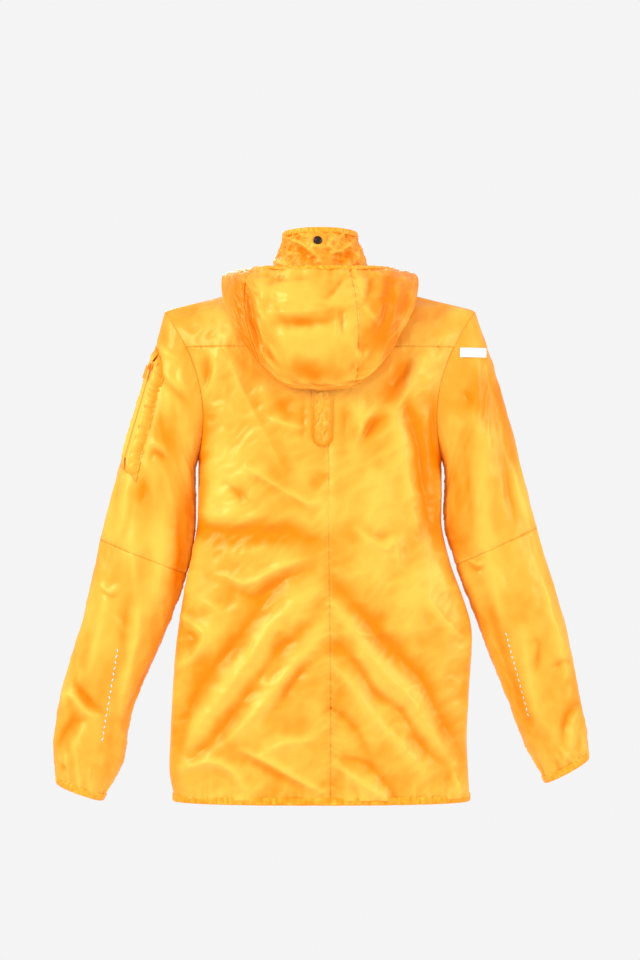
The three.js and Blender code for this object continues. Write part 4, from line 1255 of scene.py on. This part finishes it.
# The welts' tone is painted from their lift: deeper where they lie low, paler on the raised crinkles,
# painted shade and painted light.
for name, edges in (("front", (-26, -1.9)), ("back", (1.9, 26))):
    span = tuple(POCKET_ANGLE + math.radians(e) for e in edges)
    sheet(f"pocket_welt_{name}_cloth", lifted(left_base, -1, welt_lift), span,
          (POCKET_FROM - 0.02, POCKET_TO + 0.02), (26, 120), SHOULDER["left"],
          (sum(span) / 2, 0.2, (0.7, 0.7, 0.2)),
          fold=lambda u, v, p: np.clip(0.3 + 0.07 * welt_lift(u, v), 0, 1))
sheet("pocket_bag_cloth", lifted(left_base, -1, lambda u, v: -6.5 + crumple(u * 6, v * 40, 73)),
      tuple(np.radians((8, 78))), (0.07, 0.33), (30, 60), SHOULDER["left"],
      (0.75, 0.2, (0.7, 0.7, 0.2)), replaced=["sleeve_pocket_bag"])

# %% [markdown]
# ## Small sewn parts
#
# Inside lie the hang loop, a blank care label, the flap behind the zip and the tapes over the seams.
# Outside, a blank satin patch crosses the right sleeve.

# %% Loop, label, flap and tapes
LOOP_LINE = smooth_line([(-27, 39.8), (-22, 39.8), (-15, 36), (0, 36), (15, 36), (22, 39.8), (27, 39.8)])


def loop_shape(u, v):
    t = np.linspace(0, 1, len(LOOP_LINE))
    return xyz(np.interp(u, t, LOOP_LINE[:, 0]), np.interp(u, t, LOOP_LINE[:, 1]) - 0.8, 6 + 7 * v)


sheet("hang_loop_tape", loop_shape, (0, 1), (0, 1), (48, 8), "jacket", (0.5, 0.5, (0, -1, 0)),
      look=BAND, thickness=1.6, replaced=["hang_loop"])


def label_shape(u, v):
    return xyz(17 * u, 39.2 + 0.5 * np.cos(u * 4) - 0.3 * v, 25 + 8.5 * v)


sheet("care_label_satin", label_shape, (-1, 1), (-1, 1), (16, 8), "jacket", (0, 0, (0, -1, 0)),
      look=PATCH, thickness=0.3, replaced=["care_label"])


def flap_shape(u, v):
    return xyz(u, -42.0 + 0.35 * crumple(u / 12, v / 40, 81), v)


sheet("storm_flap_cloth", flap_shape, (-6, 20), (-636, 14), (10, 130), "jacket", (7, -300, (0, -1, 0)),
      replaced=["storm_flap"])
sheet("centre_back_tape", lifted(back_shape, -1, -1.3), (BACK_SEAM - 0.019, BACK_SEAM + 0.019),
      (0.02, 0.99), (4, 200), "jacket", (BACK_SEAM, 0.5, (0, 1, 0)), look=BAND,
      thickness=0.3, replaced=["centre_back_seam_tape"])
for side, hand in (("left", 1), ("right", -1)):
    def tape_shape(angle, w, hand=hand):
        p = (armhole_point(angle + 0 * w) - ARMHOLE_MIDDLE) * [0.93, 0.88, 0.93] + ARMHOLE_MIDDLE
        p[..., 0] = (p[..., 0] - 3 - 7 * w) * hand
        return p

    sheet(f"armhole_tape_{side}", tape_shape, (0, TURN), (0, 1), (72, 3), "jacket",
          (math.pi / 2, 0.5, (0, 1, 0)), look=BAND, thickness=0.4, closed=True,
          replaced=[f"armhole_seam_tape_{side}"])

# %% Sleeve patch
def sleeve_place(side, x, z, angle, v):
    """The angle and v where the sleeve is seen from behind at x and z."""
    base = sleeve_base(side)
    x, z = np.broadcast_arrays(np.asarray(x, float), np.asarray(z, float))
    angle, v = np.full(x.shape, float(angle)), np.full(x.shape, float(v))
    e = 1e-4
    for _ in range(14):
        p = base(angle, v)
        a = (base(angle + e, v) - p) / e
        b = (base(angle, v + e) - p) / e
        area = a[..., 0] * b[..., 2] - b[..., 0] * a[..., 2]
        dx, dz = x - p[..., 0], z - p[..., 2]
        angle = angle + (dx * b[..., 2] - b[..., 0] * dz) / area
        v = v + (a[..., 0] * dz - dx * a[..., 2]) / area
    return angle, v


def patch_shape(u, v):
    spot = sleeve_place("right", lerp(-175, -208, u), lerp(-101, -89, v), math.radians(50), 0.07)
    wave = 0.5 * np.sin(u * 7)
    return lifted(SLEEVE["right"], 1, lambda a, b: 1.2 + wave)(*spot)


sheet("sleeve_patch_satin", patch_shape, (0, 1), (0, 1), (30, 10), SHOULDER["right"],
      (0.5, 0.5, (0, 1, 0)), look=PATCH, thickness=0.4, replaced=["sleeve_patch"])

# %% [markdown]
# ## Stitches, prints and zip teeth
#
# Rows of small stitches hold the seams, a zigzag of reflective dashes is printed on each forearm, and
# the zips have teeth. All are one tiny shape repeated along a line, so each keeps very few faces.

# %% Beads along lines
def beads(name, lines, look, body, pitch, half, swing=0.0, sides=None):
    """Small rounded beads along each line of points. swing turns every other one the other way."""
    bm = bmesh.new()
    count = 0
    for points in lines:
        steps = np.linalg.norm(np.diff(points, axis=0), axis=1)
        run = np.concatenate([[0], np.cumsum(steps)])
        for k, at in enumerate(np.arange(pitch / 2, run[-1], pitch)):
            spot, ahead = (
                np.array([np.interp(np.clip(at + d, 0, run[-1]), run, points[:, i]) for i in range(3)])
                for d in (0, 0.5))
            before = np.array([np.interp(max(at - 0.5, 0), run, points[:, i]) for i in range(3)])
            along = Vector(unit(ahead - before))
            out = Vector(sides) if sides else Vector((0, 1, 0))
            out = (out - along * out.dot(along)).normalized()
            across = along.cross(out)
            angle = swing * (1 if k % 2 else -1)
            long = along * math.cos(angle) + across * math.sin(angle)
            wide = across * math.cos(angle) - along * math.sin(angle)
            turned = Matrix((long * half[0] * MM, wide * half[1] * MM, out * half[2] * MM)).transposed()
            matrix = Matrix.Translation(Vector(place(spot))) @ turned.to_4x4()
            bmesh.ops.create_icosphere(bm, subdivisions=1, radius=1, matrix=matrix)
            count += 1
    bmesh.ops.recalc_face_normals(bm, faces=bm.faces)
    print(f"{name}: {count}")
    return finish_piece(bm, name, look, body)


def row_on(shape, u, v, side, lift=0.12, count=160):
    """Points along a surface from the first to the second u and v."""
    t = np.linspace(0, 1, count)
    return lifted(shape, side, lift)(lerp(u[0], u[1], t), lerp(v[0], v[1], t))


STITCH = (1.15, 0.3, 0.26)
rows = [row_on(back_shape, (BACK_SEAM + d,) * 2, (0.02, 0.78), -1) for d in (-0.01, 0.01)]
rows += [row_on(back_shape, (-0.97, 0.97), (row, row), -1) for row in (1.022, 1.045)]
rows += [row_on(back_shape, (u, u), (0.02, 0.74), -1) for u in (-0.985, 0.985)]
beads("back_stitches", rows, THREAD, "jacket", 3.4, STITCH)
rows = [row_on(front_shape, (u, u), (0.02, 1.95), 1 if u > 0 else -1) for u in (-0.02, 0.02)]
rows += [row_on(front_shape, (0.56 * h, 0.97 * h), (1.95, 1.95), h) for h in (-1, 1)]
beads("front_stitches", rows, THREAD, "jacket", 3.4, STITCH, sides=(0, -1, 0))
for side, hand in (("left", 1), ("right", -1)):
    out = -hand
    ring = lambda v: row_on(SLEEVE[side], (0.02, math.pi - 0.02), (v, v), out)
    beads(f"elbow_stitches_{side}", [ring(ELBOW - 0.005), ring(ELBOW - 0.009)], THREAD,
          f"{side}_upper_sleeve", 3.2, STITCH)
    beads(f"cuff_stitches_{side}", [ring(0.978)], THREAD, f"{side}_forearm", 2.6, STITCH)
rows = [row_on(hood_shape, (seam + d,) * 2, (0.55, 0.97), -1) for seam in HOOD_SEAMS for d in (-1.6, 1.6)]
beads("hood_stitches", rows, THREAD, "hood", 3.0, STITCH)
around = [(STRAP_X + 10 * math.sin(a), STRAP_BOTTOM + 13 - 10 * math.cos(a))
          for a in np.linspace(-math.pi / 2, math.pi / 2, 24)]
outline = np.array([(STRAP_X - 10, -140), *around, (STRAP_X + 10, -140)])
t = (outline[:, 1] - STRAP_BOTTOM) / (STRAP_TOP - STRAP_BOTTOM)
from_end = np.clip((outline[:, 1] - STRAP_BOTTOM) / STRAP_HALF, 0, 1)
half = STRAP_HALF * np.sqrt(np.maximum(1 - (1 - from_end) ** 2, 0.0004))
across = np.clip((outline[:, 0] - STRAP_X) / half, -0.95, 0.95)
beads("strap_stitches", [lifted(strap_shape, -1, 0.12)(across, t)], THREAD, "jacket",
      2.8, STITCH)

# %% Reflective dashes
DASHES = {"left": ((253.6, -465), (274, -581)), "right": ((233, -445), (264, -557))}  # x, z of the ends
for side, ends in DASHES.items():
    hand = 1 if side == "left" else -1
    t = np.linspace(0, 1, 80)
    x, z = (lerp(ends[0][k], ends[1][k], t) for k in (0, 1))
    spot = sleeve_place(side, x * hand, z, math.radians(100), 0.7)
    line = lifted(SLEEVE[side], -hand, 0.25)(*spot)
    beads(f"reflective_dashes_{side}", [line], PRINT, f"{side}_forearm", 7.6,
          (2.9, 0.95, 0.22), swing=0.35)

# %% Zip teeth and the press stud
for hand, name in ((1, "left"), (-1, "right")):
    line = np.array([(1.5 * hand, -47.9, z) for z in (22.0, -644.0)])
    beads(f"front_zip_teeth_{name}", [line], ZIP, "jacket", 1.9, (0.62, 0.95, 0.5),
          swing=0.25, sides=(0, -1, 0))


def turned_stud(name, profile, at, body, replaced):
    bm = bmesh.new()
    chain = [bm.verts.new((r * MM, h * MM, 0)) for r, h in profile]
    edges = [bm.edges.new(pair) for pair in zip(chain, chain[1:])]
    bmesh.ops.spin(bm, geom=chain + edges, cent=(0, 0, 0), axis=(0, 1, 0), dvec=(0, 0, 0),
                   angle=TURN, steps=48, use_merge=True, use_duplicate=False)
    bmesh.ops.remove_doubles(bm, verts=bm.verts, dist=1e-6)
    bmesh.ops.recalc_face_normals(bm, faces=bm.faces)
    bmesh.ops.translate(bm, verts=bm.verts, vec=tuple(place(np.array(at))))
    return finish_piece(bm, name, SNAP, body, replaced)


CAP = [(0, 0), (5.2, 0), (5.5, 0.25), (5.5, 0.7), (5.2, 1.1), (4.4, 1.5), (4.0, 1.55), (3.7, 1.3),
       (3.3, 1.25), (2.6, 1.7), (1.4, 1.95), (0, 2.0)]
turned_stud("collar_snap", CAP, (3, 45.4, 44), "jacket", ["collar_snap_cap"])

# %% [markdown]
# ## Parts kept from the frame
#
# The zips' tapes, sliders, pullers, end box and the stud's socket have the right shape already. They
# only need their finish.

# %% Finishes for kept parts
KEPT = {
    "front_zip_left_side": ZIP, "front_zip_right_side": ZIP, "sleeve_zip_front_side": ZIP,
    "sleeve_zip_back_side": ZIP, "front_zip_slider": SLIDER, "front_zip_puller": SLIDER,
    "front_zip_bottom_box": SLIDER, "sleeve_zip_slider": SLIDER, "sleeve_zip_puller": SLIDER,
    "collar_snap_socket": SNAP,
}
for name, look in KEPT.items():
    kept = bpy.data.objects[name]
    kept.data.materials.clear()
    kept.data.materials.append(look)
print("kept parts:", len(KEPT))

# %% [markdown]
# ## Camera, light and backdrop
#
# The jacket is seen square on from behind with a long lens, under wide soft lamps. Thin glossy nylon
# needs large light sources: they turn its folds into broad pale areas instead of hard spots.

# %% Camera and studio
camera_data = bpy.data.cameras.new("camera")
camera_data.lens = 85
camera_data.sensor_fit = "VERTICAL"
camera_data.sensor_height = 36
camera = bpy.data.objects.new("camera", camera_data)
bpy.context.collection.objects.link(camera)
camera.location = (0, 2.833, -0.2605)
camera.rotation_euler = (math.radians(90), 0, math.radians(180))
bpy.context.scene.camera = camera
bpy.context.scene.view_settings.view_transform = "Standard"

world = bpy.data.worlds.new("studio")
bpy.context.scene.world = world
world.use_nodes = True
world.node_tree.nodes["Background"].inputs[0].default_value = (0.93, 0.93, 0.93, 1)
world.node_tree.nodes["Background"].inputs[1].default_value = 0.975


def lamp(name, at, aim, size, watts):
    data = bpy.data.lights.new(name, "AREA")
    data.shape = "RECTANGLE"
    data.size, data.size_y = size
    data.energy = watts
    made = bpy.data.objects.new(name, data)
    made.location = at
    made.rotation_euler = (Vector(aim) - Vector(at)).to_track_quat("-Z", "Y").to_euler()
    bpy.context.collection.objects.link(made)


lamp("left softbox", (1.9, 1.5, 0.9), (0, 0, -0.3), (0.9, 1.4), 58)
lamp("right softbox", (-2.1, 1.1, 0.2), (0, 0, -0.3), (0.7, 1.4), 27)
lamp("front fill", (0.3, -2.4, 0.8), (0, 0, -0.3), (1.2, 1.2), 26)

bm = bmesh.new()
bmesh.ops.create_grid(bm, x_segments=2, y_segments=2, size=1.3)
bmesh.ops.translate(bm, verts=bm.verts, vec=(0, 0, -1.25))
floor_mesh = bpy.data.meshes.new("floor")
bm.to_mesh(floor_mesh)
bm.free()
floor = bpy.data.objects.new("floor", floor_mesh)
floor.data.materials.append(plain("pale floor", (0.85, 0.85, 0.85), 0.8, grain=30.0))
bpy.context.collection.objects.link(floor)
